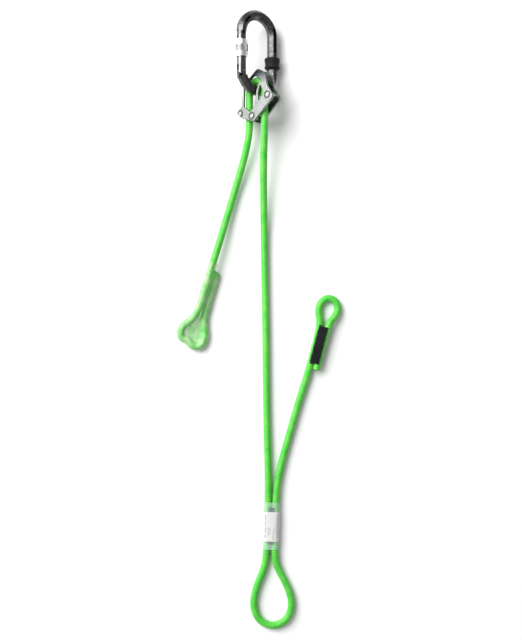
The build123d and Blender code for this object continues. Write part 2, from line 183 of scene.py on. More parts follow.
class Slot(Enum):
    """The record's material slots, passed along when new pieces are dressed."""

    ROPE = "rope"
    SLEEVE = "silver_sleeve"
    STEEL = "steel"
    CLEAR = "clear_sleeve"
    FILM = "shrink_film"
    LABEL = "label"
    THREAD = "thread"
    GREEN_THREAD = "green_thread"


class FarEnd(Enum):
    """What a run of rope ends in."""

    BARE = "bare"
    JOINED = "object"


class Kind(Enum):
    """The kinds of socket on an effect."""

    NUMBER = "NodeSocketFloat"
    VECTOR = "NodeSocketVector"


# ---------------------------------------------------------------- wiring of materials
GRAIN_LOW, GRAIN_HIGH = 0.3, 0.7


class Graph:
    """A node tree while it is wired."""

    def __init__(self, tree: bpy.types.NodeTree) -> None:
        """Starts on an empty tree.

        Args:
            tree: The node tree of a material or a group.
        """
        self.tree = tree
        tree.nodes.clear()

    def add(self, kind: str, inputs: dict | None = None, **settings) -> bpy.types.Node:
        """Adds one node.

        Args:
            kind: Blender's name for the node's type.
            inputs: Values or sockets for its inputs, by name or number.
            **settings: Properties of the node itself.

        Returns:
            The node.
        """
        node = self.tree.nodes.new(kind)
        for name, value in settings.items():
            setattr(node, name, value)
        for key, value in (inputs or {}).items():
            if isinstance(value, bpy.types.NodeSocket):
                self.tree.links.new(value, node.inputs[key])
            else:
                node.inputs[key].default_value = value
        return node

    def math(self, operation: str, *values, clamp: bool = False) -> bpy.types.NodeSocket:
        """Works out one step of arithmetic.

        Args:
            operation: The Math node's operation.
            *values: Numbers or sockets.
            clamp: Whether the result stays from 0 to 1.

        Returns:
            The result's socket.
        """
        node = self.add("ShaderNodeMath", dict(enumerate(values)), operation=operation, use_clamp=clamp)
        return node.outputs[0]

    def spread(
        self, value: Wire, low: float, high: float, first: Source = 0.0, last: Source = 1.0
    ) -> bpy.types.NodeSocket:
        """Maps a value's range to another one, and holds it inside.

        Args:
            value: The socket to map.
            low: The value that becomes first.
            high: The value that becomes last.
            first: The result at low, a number or a socket.
            last: The result at high, a number or a socket.

        Returns:
            The mapped value's socket.
        """
        inputs = {"Value": value, "From Min": low, "From Max": high, "To Min": first, "To Max": last}
        return self.add("ShaderNodeMapRange", inputs).outputs[0]

    def mix(self, share: Source, first: Source, second: Source) -> bpy.types.NodeSocket:
        """Mixes two colours.

        Args:
            share: How much of the second colour shows.
            first: A colour or a socket.
            second: A colour or a socket.

        Returns:
            The mixed colour's socket.
        """
        return self.add("ShaderNodeMix", {0: share, 6: first, 7: second}, data_type="RGBA").outputs[2]

    def local(self, place: Matrix) -> tuple[bpy.types.NodeSocket, ...]:
        """Reads the surface's place in a piece's own frame.

        Args:
            place: The piece's frame.

        Returns:
            Sockets for X, Y and Z, in metres.
        """
        world = self.add("ShaderNodeTexCoord").outputs["Object"]
        inputs = {"Vector": world, "Location": place.translation, "Rotation": place.to_euler()}
        turned = self.add("ShaderNodeMapping", inputs, vector_type="TEXTURE").outputs[0]
        return tuple(self.add("ShaderNodeSeparateXYZ", {0: turned}).outputs)

    def inside(self, value: Wire, middle: float, reach: float) -> bpy.types.NodeSocket:
        """Gives 1 where a value lies within reach of a middle, and 0 elsewhere."""
        return self.math("COMPARE", value, middle, reach)

    def noise(
        self, place: Wire, scale: Source, detail: float = 3.0, roughness: float = 0.55
    ) -> bpy.types.NodeSocket:
        """Adds a noise texture.

        Args:
            place: The coordinates' socket.
            scale: Lumps per metre, a number or a socket.
            detail: How many finer layers it has.
            roughness: How strong the finer layers are.

        Returns:
            The noise value's socket.
        """
        inputs = {"Vector": place, "Scale": scale, "Detail": detail, "Roughness": roughness}
        return self.add("ShaderNodeTexNoise", inputs).outputs[0]


def make_effect(
    name: str,
    inputs: dict[str, float | Point],
    outputs: list[str],
    wire: Callable[[Graph, bpy.types.Node], dict[str, bpy.types.NodeSocket]],
) -> bpy.types.NodeTree:
    """Makes a shader node group that several materials share.

    Args:
        name: The effect's name.
        inputs: Its input names and their usual values; three numbers make a vector.
        outputs: Its output names, all numbers.
        wire: Wires the group's inside and returns a socket for each output.

    Returns:
        The group.
    """
    group = bpy.data.node_groups.new(name, "ShaderNodeTree")
    graph = Graph(group)
    for label, value in inputs.items():
        kind = Kind.VECTOR if isinstance(value, tuple) else Kind.NUMBER
        socket = group.interface.new_socket(label, in_out="INPUT", socket_type=kind.value)
        socket.default_value = value
    for label in outputs:
        group.interface.new_socket(label, in_out="OUTPUT", socket_type=Kind.NUMBER.value)
    results = wire(graph, graph.add("NodeGroupInput"))
    graph.add("NodeGroupOutput", results)
    return group


def wire_mottle(graph: Graph, given: bpy.types.Node) -> dict[str, bpy.types.NodeSocket]:
    """Wires uneven tone: soft blotches with finer ones over them.

    Args:
        graph: The group's inside.
        given: Its input node, with Lumps and Contrast.

    Returns:
        The Mask output.
    """
    place = graph.add("ShaderNodeTexCoord").outputs["Object"]
    value = graph.noise(place, given.outputs["Lumps"], 4.0, 0.62)
    centred = graph.math("SUBTRACT", value, 0.5)
    return {"Mask": graph.math("MULTIPLY_ADD", centred, given.outputs["Contrast"], 0.5, clamp=True)}


def wire_grain(graph: Graph, given: bpy.types.Node) -> dict[str, bpy.types.NodeSocket]:
    """Wires fine grain, drawn out along the directions whose stretch is small.

    Args:
        graph: The group's inside.
        given: Its input node, with Stretch and Lumps.

    Returns:
        The Height output.
    """
    place = graph.add("ShaderNodeTexCoord").outputs["Object"]
    inputs = {"Vector": place, "Scale": given.outputs["Stretch"]}
    drawn = graph.add("ShaderNodeMapping", inputs).outputs[0]
    return {"Height": graph.noise(drawn, given.outputs["Lumps"], 2.0, 0.5)}


# Edge mask: rubbed metal, and partly a painted highlight along chamfers.
EDGE_MASK_RADIUS = 0.55 * MM
FLAT_ALIKE, EDGE_ALIKE = 0.985, 0.88
PLAIN_EDGE_NOISE, MARKED_EDGE_NOISE = 0.36, 0.62


def wire_edge_rubbing_and_highlight(graph: Graph, given: bpy.types.Node) -> dict[str, bpy.types.NodeSocket]:
    """Wires a mask along edges, broken up by noise, for rubbed edges and painted highlight.

    Args:
        graph: The group's inside.
        given: Its input node, with Lumps.

    Returns:
        The Mask output.
    """
    true_normal = graph.add("ShaderNodeNewGeometry").outputs["Normal"]
    softened = graph.add("ShaderNodeBevel", {"Radius": EDGE_MASK_RADIUS}, samples=6).outputs[0]
    alike = graph.add("ShaderNodeVectorMath", {0: true_normal, 1: softened}, operation="DOT_PRODUCT")
    edge = graph.spread(alike.outputs["Value"], FLAT_ALIKE, EDGE_ALIKE)
    place = graph.add("ShaderNodeTexCoord").outputs["Object"]
    patches = graph.noise(place, given.outputs["Lumps"], 5.0, 0.7)
    broken = graph.spread(patches, PLAIN_EDGE_NOISE, MARKED_EDGE_NOISE)
    return {"Mask": graph.math("MULTIPLY", edge, broken, clamp=True)}


def wire_sheath(graph: Graph, given: bpy.types.Node) -> dict[str, bpy.types.NodeSocket]:
    """Wires the braided sheath: crossing yarns, each made of several fine threads.

    Args:
        graph: The group's inside.
        given: Its input node, with Threads, the fine threads in one yarn.

    Returns:
        The Height, Groove and Shade outputs.
    """
    flat = graph.add("ShaderNodeUVMap", uv_map=SHEATH_UV).outputs[0]
    parts = graph.add("ShaderNodeSeparateXYZ", {0: flat})
    right = graph.math("ADD", parts.outputs[0], parts.outputs[1])
    left = graph.math("SUBTRACT", parts.outputs[0], parts.outputs[1])
    crowns, threads, cells = [], [], []
    for run in (right, left):
        within = graph.math("FRACT", run)
        crowns.append(graph.math("SINE", graph.math("MULTIPLY", within, math.pi)))
        turns = graph.math("MULTIPLY", graph.math("MULTIPLY", within, given.outputs["Threads"]), math.tau)
        threads.append(graph.math("SINE", turns))
        cells.append(graph.math("FLOOR", run))
    weave = graph.math("POWER", graph.math("MULTIPLY", crowns[0], crowns[1]), 0.45)
    wave = graph.math("COSINE", graph.math("MULTIPLY", parts.outputs[1], math.tau))
    hill = graph.math("MULTIPLY", weave, graph.math("MULTIPLY_ADD", wave, 0.28, 0.72))
    over = graph.math("MODULO", graph.math("ADD", graph.math("ADD", cells[0], cells[1]), 1000.0), 2.0)
    lines = graph.add("ShaderNodeMix", {0: over, 2: threads[0], 3: threads[1]}).outputs[0]
    height = graph.math("MULTIPLY_ADD", lines, 0.10, hill)
    pair = graph.add("ShaderNodeCombineXYZ", {0: cells[0], 1: cells[1]}).outputs[0]
    shade = graph.add("ShaderNodeTexWhiteNoise", {"Vector": pair}, noise_dimensions="2D").outputs["Value"]
    return {"Height": height, "Groove": graph.math("SUBTRACT", 1.0, hill, clamp=True), "Shade": shade}


class Effects:
    """The effects that the finishes share."""

    mottle = make_effect("uneven tone", {"Lumps": 90.0, "Contrast": 1.6}, ["Mask"], wire_mottle)
    grain = make_effect("fine grain", {"Stretch": (1.0, 1.0, 1.0), "Lumps": 2500.0}, ["Height"], wire_grain)
    rubbing_and_highlight = make_effect("edge rubbing and highlight", {"Lumps": 420.0}, ["Mask"], wire_edge_rubbing_and_highlight)
    sheath = make_effect("braided sheath", {"Threads": 4.0}, ["Height", "Groove", "Shade"], wire_sheath)


def place_effect(graph: Graph, effect: bpy.types.NodeTree, **values) -> bpy.types.Node:
    """Places a shared effect in a material.

    Args:
        graph: The material's tree.
        effect: The group.
        **values: Values for its inputs.

    Returns:
        The group node.
    """
    node = graph.add("ShaderNodeGroup", node_tree=effect)
    for name, value in values.items():
        node.inputs[name].default_value = value
    return node


def start_material(name: str) -> tuple[bpy.types.Material, Graph, bpy.types.Node]:
    """Starts a material that holds one Principled shader.

    Args:
        name: The material's name.

    Returns:
        The material, its tree and the shader.
    """
    material = bpy.data.materials.new(name)
    material.use_nodes = True
    graph = Graph(material.node_tree)
    shader = graph.add("ShaderNodeBsdfPrincipled")
    graph.add("ShaderNodeOutputMaterial", {"Surface": shader.outputs[0]})
    return material, graph, shader


def square(graph: Graph, value: bpy.types.NodeSocket) -> bpy.types.NodeSocket:
    """Multiplies a value by itself."""
    return graph.math("MULTIPLY", value, value)


def distance(graph: Graph, first: Wire, second: Wire) -> bpy.types.NodeSocket:
    """Gives how far a place is from an axis, from its two offsets."""
    return graph.math("POWER", graph.math("ADD", square(graph, first), square(graph, second)), 0.5)


def carabiner_place() -> Matrix:
    """The carabiner's frame: X from the gate to the spine, Y along them, Z out of its faces."""
    return Matrix.Translation(HUB) @ Matrix.Rotation(math.radians(CARABINER_YAW), 4, "Y")


def sleeve_place() -> Matrix:
    """The screw sleeve's middle, with its Z along the gate."""
    middle = Matrix.Translation((-23.5 * MM, 48.3 * MM, 0))
    return carabiner_place() @ middle @ Matrix.Rotation(-math.pi / 2, 4, "X")


def label_place() -> Matrix:
    """The label's middle, with its X across the strands and its Y along them."""
    place, length = pair_place(LABEL_TOP, LABEL_BOTTOM)
    return place @ Matrix.Translation((0, length / 2 - LABEL_DROP - LABEL_LENGTH / 2, 0))


def rivet_place(rivet: str) -> Matrix:
    """A rivet's middle, with its Z along the rivet."""
    low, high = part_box(rivet)
    middle = (Vector(low) + Vector(high)) / 2
    return Matrix.Translation(middle) @ Matrix.Rotation(math.radians(ADJUSTER_YAW), 4, "Y")


@dataclass(frozen=True)
class MetalFinish:
    """A metal surface with uneven tone, grain, and edges lightened partly by rubbing and partly as painted
    highlight.
    """

    name: str
    colour: Colour
    patch: Colour
    # Edge colour: rubbed metal, and partly a painted highlight along chamfers.
    rubbed_and_highlit_edge: Colour
    smoothest: float
    roughest: float
    lumps: float = 140.0
    contrast: float = 1.8
    stretch: Point = (1.0, 1.0, 1.0)
    grain: float = 2600.0
    bump: float = 0.05

    def shaded(self, graph: Graph, plain: bpy.types.NodeSocket) -> bpy.types.NodeSocket:
        """Adds what else changes the colour; a plain finish adds nothing."""
        return plain

    def build(self) -> bpy.types.Material:
        """Makes the material and returns it."""
        material, graph, shader = start_material(self.name)
        tone = place_effect(graph, Effects.mottle, Lumps=self.lumps, Contrast=self.contrast).outputs["Mask"]
        edge = place_effect(graph, Effects.rubbing_and_highlight).outputs["Mask"]
        fine = place_effect(graph, Effects.grain, Stretch=self.stretch, Lumps=self.grain).outputs["Height"]
        plain = self.shaded(graph, graph.mix(tone, self.colour, self.patch))
        # Lightens the edges: rubbed metal, and partly a painted highlight.
        graph.tree.links.new(graph.mix(edge, plain, self.rubbed_and_highlit_edge), shader.inputs["Base Color"])
        rough = graph.spread(fine, GRAIN_LOW, GRAIN_HIGH, self.smoothest, self.roughest)
        graph.tree.links.new(rough, shader.inputs["Roughness"])
        bump = graph.add("ShaderNodeBump", {"Strength": self.bump, "Distance": 0.1 * MM, "Height": fine})
        graph.tree.links.new(bump.outputs[0], shader.inputs["Normal"])
        shader.inputs["Metallic"].default_value = 1.0
        return material


@dataclass(frozen=True)
class ForgedFinish(MetalFinish):
    """Forged bar stock with painted shade in its pockets, darker than its faces."""

    # Painted shade: the colour laid in the pockets, where shade falls.
    painted_pocket_shade: Colour = (0.012, 0.012, 0.013, 1.0)
    bow_radius: float = 23.5 * MM
    bow_centre: float = 69.1 * MM
    pocket_foot: float = 48.6 * MM
    pocket_half_width: float = 2.0 * MM
    face_height: float = 5.85 * MM

    def shaded(self, graph: Graph, plain: bpy.types.NodeSocket) -> bpy.types.NodeSocket:
        """Paints shade onto the pockets' floors and walls."""
        across, along, height = graph.local(carabiner_place())
        above = graph.math("MAXIMUM", graph.math("SUBTRACT", along, self.bow_centre), 0.0)
        reach = distance(graph, across, above)
        lane = graph.inside(reach, self.bow_radius, self.pocket_half_width)
        sunk = graph.inside(height, 0.0, self.face_height)
        pocketed = graph.math("GREATER_THAN", along, self.pocket_foot)
        # Mask of the pockets that get painted shade.
        pocket_shade_mask = graph.math("MULTIPLY", graph.math("MULTIPLY", lane, sunk), pocketed)
        return graph.mix(pocket_shade_mask, plain, self.painted_pocket_shade)


@dataclass(frozen=True)
class SleeveFinish(MetalFinish):
    """Turned metal with a knurled band greyed by painted shade, darker than the smooth ones."""

    # Painted shade: the grey that the knurled band gets in place of its shading.
    knurled: Colour = (0.26, 0.26, 0.265, 1.0)
    band_middle: float = -0.2 * MM
    band_half: float = 4.0 * MM

    def shaded(self, graph: Graph, plain: bpy.types.NodeSocket) -> bpy.types.NodeSocket:
        """Paints shade onto the knurled band by greying it."""
        height = graph.local(sleeve_place())[2]
        return graph.mix(graph.inside(height, self.band_middle, self.band_half), plain, self.knurled)


@dataclass(frozen=True)
class PlateFinish(MetalFinish):
    """Tumbled plate with a painted dark reflection towards its upper corner, darker and bluer there, and
    dark round each rivet.
    """

    # Painted dark reflection: darker and bluer towards the upper corner.
    painted_dark_reflection: Colour = (0.014, 0.020, 0.028, 1.0)
    painted_dark_reflection_from: float = -25.0 * MM
    painted_dark_reflection_to: float = -10.0 * MM
    painted_dark_reflection_share: float = 0.95
    rivets: tuple[str, ...] = ("right_rivet", "lower_rivet", "left_rivet")
    ring: Colour = (0.03, 0.03, 0.03, 1.0)
    ring_radius: float = 4.0 * MM
    ring_half: float = 0.8 * MM

    def shaded(self, graph: Graph, plain: bpy.types.NodeSocket) -> bpy.types.NodeSocket:
        """Paints a dark reflection onto the upper corner, and darkens the ring round each rivet."""
        place = graph.add("ShaderNodeTexCoord").outputs["Object"]
        along = graph.add("ShaderNodeSeparateXYZ", {0: place}).outputs[1]
        share = graph.spread(along, self.painted_dark_reflection_from, self.painted_dark_reflection_to, 0.0, self.painted_dark_reflection_share)
        tone = graph.mix(share, plain, self.painted_dark_reflection)
        for rivet in self.rivets:
            across, level, _ = graph.local(rivet_place(rivet))
            reach = distance(graph, across, level)
            tone = graph.mix(graph.inside(reach, self.ring_radius, self.ring_half), tone, self.ring)
        return tone


@dataclass(frozen=True)
class RopeFinish:
    """The rope's braided sheath in a bright dyed yarn, with painted shade in the grooves between its yarns.
    """

    name: str
    crown: Colour
    second: Colour
    # Painted shade: the colour laid in the grooves between yarns.
    groove: Colour
    sheen: Colour
    painted_groove_shade_power: float = 1.0
    roughness: float = 0.46
    bump: float = 0.80
    relief: float = 0.18 * MM
    lumps: float = 85.0
    contrast: float = 2.6
    yarn_share: float = 0.30
    tone_share: float = 0.7
    gloss: float = 0.45
    fuzz: float = 0.22
    fuzz_roughness: float = 0.35

    def build(self) -> bpy.types.Material:
        """Makes the material and returns it."""
        material, graph, shader = start_material(self.name)
        sheath = place_effect(graph, Effects.sheath)
        tone = place_effect(graph, Effects.mottle, Lumps=self.lumps, Contrast=self.contrast).outputs["Mask"]
        share = graph.math("MULTIPLY", sheath.outputs["Shade"], self.yarn_share)
        share = graph.math("MULTIPLY_ADD", tone, self.tone_share, share, clamp=True)
        yarn = graph.mix(share, self.crown, self.second)
        # Painted shade, strongest deep in the grooves between yarns.
        depth = graph.math("POWER", sheath.outputs["Groove"], self.painted_groove_shade_power)
        graph.tree.links.new(graph.mix(depth, yarn, self.groove), shader.inputs["Base Color"])
        bump = graph.add(
            "ShaderNodeBump",
            {"Strength": self.bump, "Distance": self.relief, "Height": sheath.outputs["Height"]},
        )
        graph.tree.links.new(bump.outputs[0], shader.inputs["Normal"])
        shader.inputs["Roughness"].default_value = self.roughness
        shader.inputs["Specular IOR Level"].default_value = self.gloss
        shader.inputs["Sheen Weight"].default_value = self.fuzz
        shader.inputs["Sheen Roughness"].default_value = self.fuzz_roughness
        shader.inputs["Sheen Tint"].default_value = self.sheen
        return material


@dataclass(frozen=True)
class SoftFinish:
    """A matt or satin surface with uneven tone and grain, such as rubber, thread, cloth or film."""

    name: str
    colour: Colour
    patch: Colour
    smoothest: float
    roughest: float
    lumps: float = 120.0
    stretch: Point = (1.0, 1.0, 1.0)
    grain: float = 1800.0
    bump: float = 0.25
    alpha: float = 1.0
    coat: float = 0.0
    gloss: float = 0.5

    def marked(self, graph: Graph, plain: bpy.types.NodeSocket) -> bpy.types.NodeSocket:
        """Adds what else changes the colour; a plain finish adds nothing."""
        return plain

    def build(self) -> bpy.types.Material:
        """Makes the material and returns it."""
        material, graph, shader = start_material(self.name)
        tone = place_effect(graph, Effects.mottle, Lumps=self.lumps, Contrast=2.2).outputs["Mask"]
        fine = place_effect(graph, Effects.grain, Stretch=self.stretch, Lumps=self.grain).outputs["Height"]
        plain = self.marked(graph, graph.mix(tone, self.colour, self.patch))
        graph.tree.links.new(plain, shader.inputs["Base Color"])
        rough = graph.spread(fine, GRAIN_LOW, GRAIN_HIGH, self.smoothest, self.roughest)
        graph.tree.links.new(rough, shader.inputs["Roughness"])
        bump = graph.add("ShaderNodeBump", {"Strength": self.bump, "Distance": 0.15 * MM, "Height": fine})
        graph.tree.links.new(bump.outputs[0], shader.inputs["Normal"])
        shader.inputs["Alpha"].default_value = self.alpha
        shader.inputs["Coat Weight"].default_value = self.coat
        shader.inputs["Specular IOR Level"].default_value = self.gloss
        return material


@dataclass(frozen=True)
class LabelFinish(SoftFinish):
    """A white label with plain grey blocks and rules where print would be."""

    ink: Colour = (0.16, 0.17, 0.17, 1.0)
    marks: tuple[tuple[float, float, float, float, float], ...] = (
        (-7.4, 11.5, 0.6, 3.2, 0.75),
        (-7.4, 4.0, 0.6, 3.2, 0.75),
        (-7.4, -4.2, 0.6, 3.6, 0.75),
        (-7.4, -11.8, 0.6, 2.4, 0.75),
        (-2.6, -5.5, 2.0, 4.6, 0.22),
        (2.4, -9.5, 0.35, 7.0, 0.50),
        (3.8, -8.5, 0.30, 8.5, 0.50),
        (5.2, 2.0, 0.30, 9.0, 0.35),
        (7.4, -1.0, 0.35, 15.0, 0.55),
    )

    def marked(self, graph: Graph, plain: bpy.types.NodeSocket) -> bpy.types.NodeSocket:
        """Lays each mark over the label: its middle, half its width and length, and its strength."""
        across, along, _ = graph.local(label_place())
        for middle, height, half_width, half_length, strength in self.marks:
            inside = graph.math(
                "MULTIPLY",
                graph.inside(across, middle * MM, half_width * MM),
                graph.inside(along, height * MM, half_length * MM),
            )
            plain = graph.mix(graph.math("MULTIPLY", inside, strength), plain, self.ink)
        return plain


ROPE_GREEN = RopeFinish(
    "green braided rope",
    crown=(0.330, 1.00, 0.140, 1.0),
    second=(0.050, 0.70, 0.050, 1.0),
    # Painted shade in the grooves between yarns.
    groove=(0.002, 0.27, 0.016, 1.0),
    sheen=(0.80, 1.0, 0.55, 1.0),
)
GUNMETAL = ForgedFinish(
    "dark anodised aluminium",
    colour=(0.165, 0.17, 0.162, 1.0),
    patch=(0.050, 0.053, 0.053, 1.0),
    rubbed_and_highlit_edge=(0.36, 0.37, 0.35, 1.0),
    smoothest=0.20,
    roughest=0.36,
    lumps=300.0,
    contrast=2.4,
    stretch=(1.0, 0.25, 1.0),
)
GATE_METAL = MetalFinish(
    "polished dark aluminium",
    colour=(0.17, 0.175, 0.175, 1.0),
    patch=(0.07, 0.075, 0.08, 1.0),
    rubbed_and_highlit_edge=(0.46, 0.47, 0.47, 1.0),
    smoothest=0.10,
    roughest=0.20,
    stretch=(1.0, 0.25, 1.0),
    bump=0.02,
)
BRIGHT_SLEEVE = SleeveFinish(
    "bright turned aluminium",
    colour=(0.80, 0.80, 0.80, 1.0),
    patch=(0.70, 0.70, 0.70, 1.0),
    rubbed_and_highlit_edge=(0.74, 0.74, 0.74, 1.0),
    smoothest=0.34,
    roughest=0.48,
    stretch=(1.0, 6.0, 1.0),
    bump=0.03,
)
FRONT_PLATE = PlateFinish(
    "tumbled grey aluminium",
    colour=(0.255, 0.26, 0.25, 1.0),
    patch=(0.17, 0.18, 0.175, 1.0),
    rubbed_and_highlit_edge=(0.50, 0.50, 0.48, 1.0),
    smoothest=0.30,
    roughest=0.48,
)
# Painted shade: the same metal as the front plate, with heavy dark patches that stand in for the shade it
# lies in.
REAR_PLATE = MetalFinish(
    "shaded grey aluminium",
    colour=(0.28, 0.285, 0.275, 1.0),
    patch=(0.06, 0.065, 0.065, 1.0),
    rubbed_and_highlit_edge=(0.46, 0.47, 0.45, 1.0),
    smoothest=0.30,
    roughest=0.46,
    lumps=260.0,
    contrast=2.6,
)
RIVET_STEEL = MetalFinish(
    "turned rivet steel",
    colour=(0.34, 0.34, 0.34, 1.0),
    patch=(0.26, 0.26, 0.26, 1.0),
    rubbed_and_highlit_edge=(0.40, 0.40, 0.40, 1.0),
    smoothest=0.34,
    roughest=0.46,
)
PLAIN_STEEL = MetalFinish(
    "plain steel",
    colour=(0.36, 0.36, 0.36, 1.0),
    patch=(0.24, 0.24, 0.24, 1.0),
    rubbed_and_highlit_edge=(0.60, 0.60, 0.60, 1.0),
    smoothest=0.22,
    roughest=0.36,
)
BLACK_RUBBER = SoftFinish(
    "black moulded rubber",
    colour=(0.006, 0.006, 0.006, 1.0),
    patch=(0.014, 0.014, 0.013, 1.0),
    smoothest=0.55,
    roughest=0.75,
    gloss=0.22,
)
CLEAR_PLASTIC = SoftFinish(
    "clear sleeve plastic",
    colour=(0.80, 0.95, 0.86, 1.0),
    patch=(0.62, 0.90, 0.72, 1.0),
    smoothest=0.12,
    roughest=0.26,
    bump=0.10,
    alpha=0.20,
    coat=0.6,
)
SHRINK_FILM = SoftFinish(
    "milky shrink film",
    colour=(0.84, 1.00, 0.68, 1.0),
    patch=(0.12, 0.66, 0.12, 1.0),
    smoothest=0.20,
    roughest=0.36,
    lumps=75.0,
    bump=0.35,
    alpha=0.44,
    coat=0.6,
)
WHITE_LABEL = LabelFinish(
    "white woven label",
    colour=(0.66, 0.67, 0.65, 1.0),
    patch=(0.58, 0.60, 0.58, 1.0),
    smoothest=0.55,
    roughest=0.70,
    bump=0.12,
)
BLACK_THREAD = SoftFinish(
    "black sewing thread",
    colour=(0.004, 0.004, 0.005, 1.0),
    patch=(0.013, 0.013, 0.016, 1.0),
    smoothest=0.50,
    roughest=0.72,
    bump=0.5,
    gloss=0.10,
)
GREEN_THREAD = SoftFinish(
    "green sewing thread",
    colour=(0.10, 0.66, 0.07, 1.0),
    patch=(0.06, 0.50, 0.05, 1.0),
    smoothest=0.50,
    roughest=0.72,
    bump=0.5,
)


# ---------------------------------------------------------------- the bench, where pieces are shaped
class Bench:
    """Runs modelling operators on one piece at a time."""

    @staticmethod
    def clear() -> None:
        """Leaves nothing selected."""
        for item in bpy.context.view_layer.objects:
            item.select_set(False)

    @staticmethod
    def pick(piece: bpy.types.Object) -> None:
        """Selects one piece alone and makes it active."""
        Bench.clear()
        piece.select_set(True)
        bpy.context.view_layer.objects.active = piece

    @staticmethod
    @contextmanager
    def edit(piece: bpy.types.Object) -> Iterator[None]:
        """Works on a piece in edit mode."""
        Bench.pick(piece)
        bpy.ops.object.mode_set(mode="EDIT")
        yield
        bpy.ops.object.mode_set(mode="OBJECT")

    @staticmethod
    def choose(piece: bpy.types.Object, part: str, test: Callable[[Vector], bool]) -> None:
        """Selects vertices or faces by their place, and leaves the piece in edit mode.

        Args:
            piece: The piece, in edit mode.
            part: VERT or FACE.
            test: Says of a place, in the piece's own frame, whether it is chosen.
        """
        bpy.ops.mesh.select_mode(type=part)
        bpy.ops.mesh.select_all(action="DESELECT")
        bpy.ops.object.mode_set(mode="OBJECT")
        if part == "VERT":
            for vertex in piece.data.vertices:
                vertex.select = test(vertex.co)
        else:
            for face in piece.data.polygons:
                face.select = test(face.center)
        bpy.ops.object.mode_set(mode="EDIT")

    @staticmethod
    def cut(places: list[Point], normal: Point) -> None:
        """Cuts the piece in edit mode across at each place.

        Args:
            places: A point on each cutting plane.
            normal: The planes' normal.
        """
        for place in places:
            bpy.ops.mesh.select_all(action="SELECT")
            bpy.ops.mesh.bisect(plane_co=place, plane_no=normal)

    @staticmethod
    def finish_with(piece: bpy.types.Object, kind: str, **settings) -> None:
        """Adds a modifier and applies it.

        Args:
            piece: The piece.
            kind: The modifier's type.
            **settings: Its properties.
        """
        Bench.pick(piece)
        modifier = piece.modifiers.new(kind.lower(), kind)
        for name, value in settings.items():
            setattr(modifier, name, value)
        bpy.ops.object.modifier_apply(modifier=modifier.name)

    @staticmethod
    def join(pieces: list[bpy.types.Object], name: str) -> bpy.types.Object:
        """Joins pieces into the first of them.

        Args:
            pieces: The pieces.
            name: The joined piece's name.

        Returns:
            The joined piece.
        """
        Bench.pick(pieces[0])
        for piece in pieces[1:]:
            piece.select_set(True)
        bpy.ops.object.join()
        pieces[0].name = name
        return pieces[0]

    @staticmethod
    def settle(piece: bpy.types.Object, place: Matrix, name: str) -> bpy.types.Object:
        """Moves a piece's mesh to its place and leaves its object at the origin.

        Args:
            piece: A piece that was shaped about its own middle.
            place: Where it goes in the frame.
            name: Its name.

        Returns:
            The piece.
        """
        piece.data.transform(place @ piece.matrix_basis)
        piece.matrix_basis = Matrix.Identity(4)
        piece.name = name
        return piece

    @staticmethod
    def dress(piece: bpy.types.Object, material: bpy.types.Material, slot: Slot | None = None) -> None:
        """Gives a piece its material.

        Args:
            piece: A new piece or a frame node.
            material: The material.
            slot: The record's slot, for a new piece; not used.
        """
        piece.data.materials.clear()
        piece.data.materials.append(material)


def pair_place(top: Point, bottom: Point, roll: float = 0.0) -> tuple[Matrix, float]:
    """Finds the frame of a pair of strands: X across them, Y along them, Z off the floor.

    Args:
        top: The upper end of the pair's axis.
        bottom: Its lower end.
        roll: Its turn about its own axis, in degrees.

    Returns:
        The frame at the pair's middle, and the pair's length.
    """
    span = Vector(top) - Vector(bottom)
    along = span.normalized()
    across = Vector((along.y, -along.x, 0.0)).normalized()
    place = Matrix((across, along, across.cross(along))).transposed().to_4x4()
    place.translation = (Vector(top) + Vector(bottom)) / 2
    return place @ Matrix.Rotation(math.radians(roll), 4, "Y"), span.length


# ---------------------------------------------------------------- the rope
@dataclass(frozen=True)
class Sheath:
    """How the rope's sheath is woven."""

    diameter: float = 9.0 * MM
    carriers: int = 12
    lay: float = 36.0 * MM
    relief: float = 0.18 * MM
    rib: float = 0.07 * MM
    columns: int = 56
    step: float = 0.64 * MM

    def radius_at(self, turn: float, along: float) -> float:
        """The sheath's radius at a share of a turn and a length along the rope."""
        right = self.carriers * (turn + along / self.lay)
        left = self.carriers * (turn - along / self.lay)
        hill = abs(math.sin(math.pi * right) * math.sin(math.pi * left))
        rib = math.cos(math.tau * self.carriers * along / self.lay)
        return self.diameter / 2 + self.relief * (math.sqrt(hill) - 0.6) + self.rib * (rib - 1.0)


def smooth_line(route: tuple[Point, ...]) -> list[Vector]:
    """Follows a route with one smooth spline.

    Args:
        route: The spline's control points.

    Returns:
        Points along the spline.
    """
    curve = bpy.data.curves.new("route", "CURVE")
    curve.dimensions = "3D"
    curve.resolution_u = 32
    spline = curve.splines.new("NURBS")
    spline.points.add(len(route) - 1)
    for point, place in zip(spline.points, route):
        point.co = (*place, 1.0)
    spline.order_u = 3
    spline.use_endpoint_u = True
    guide = bpy.data.objects.new("route", curve)
    mesh = bpy.data.meshes.new_from_object(guide)
    line = [vertex.co.copy() for vertex in mesh.vertices]
    bpy.data.meshes.remove(mesh)
    bpy.data.objects.remove(guide)
    bpy.data.curves.remove(curve)
    return line


def length_of(line: list[Vector]) -> float:
    """The length of a line of points."""
    return sum((after - before).length for before, after in zip(line, line[1:]))


def walk(line: list[Vector], step: float) -> list[Vector]:
    """Walks along a line in even steps, from its first point to its last.

    Args:
        line: The line's points.
        step: About how long each step is.

    Returns:
        The points walked to.
    """
    total = length_of(line)
    count = max(2, round(total / step))
    stops, covered, index = [line[0].copy()], 0.0, 0
    for stop in range(1, count):
        target = total * stop / count
        while covered + (line[index + 1] - line[index]).length < target:
            covered += (line[index + 1] - line[index]).length
            index += 1
        run = line[index + 1] - line[index]
        stops.append(line[index] + run * ((target - covered) / run.length))
    stops.append(line[-1].copy())
    return stops


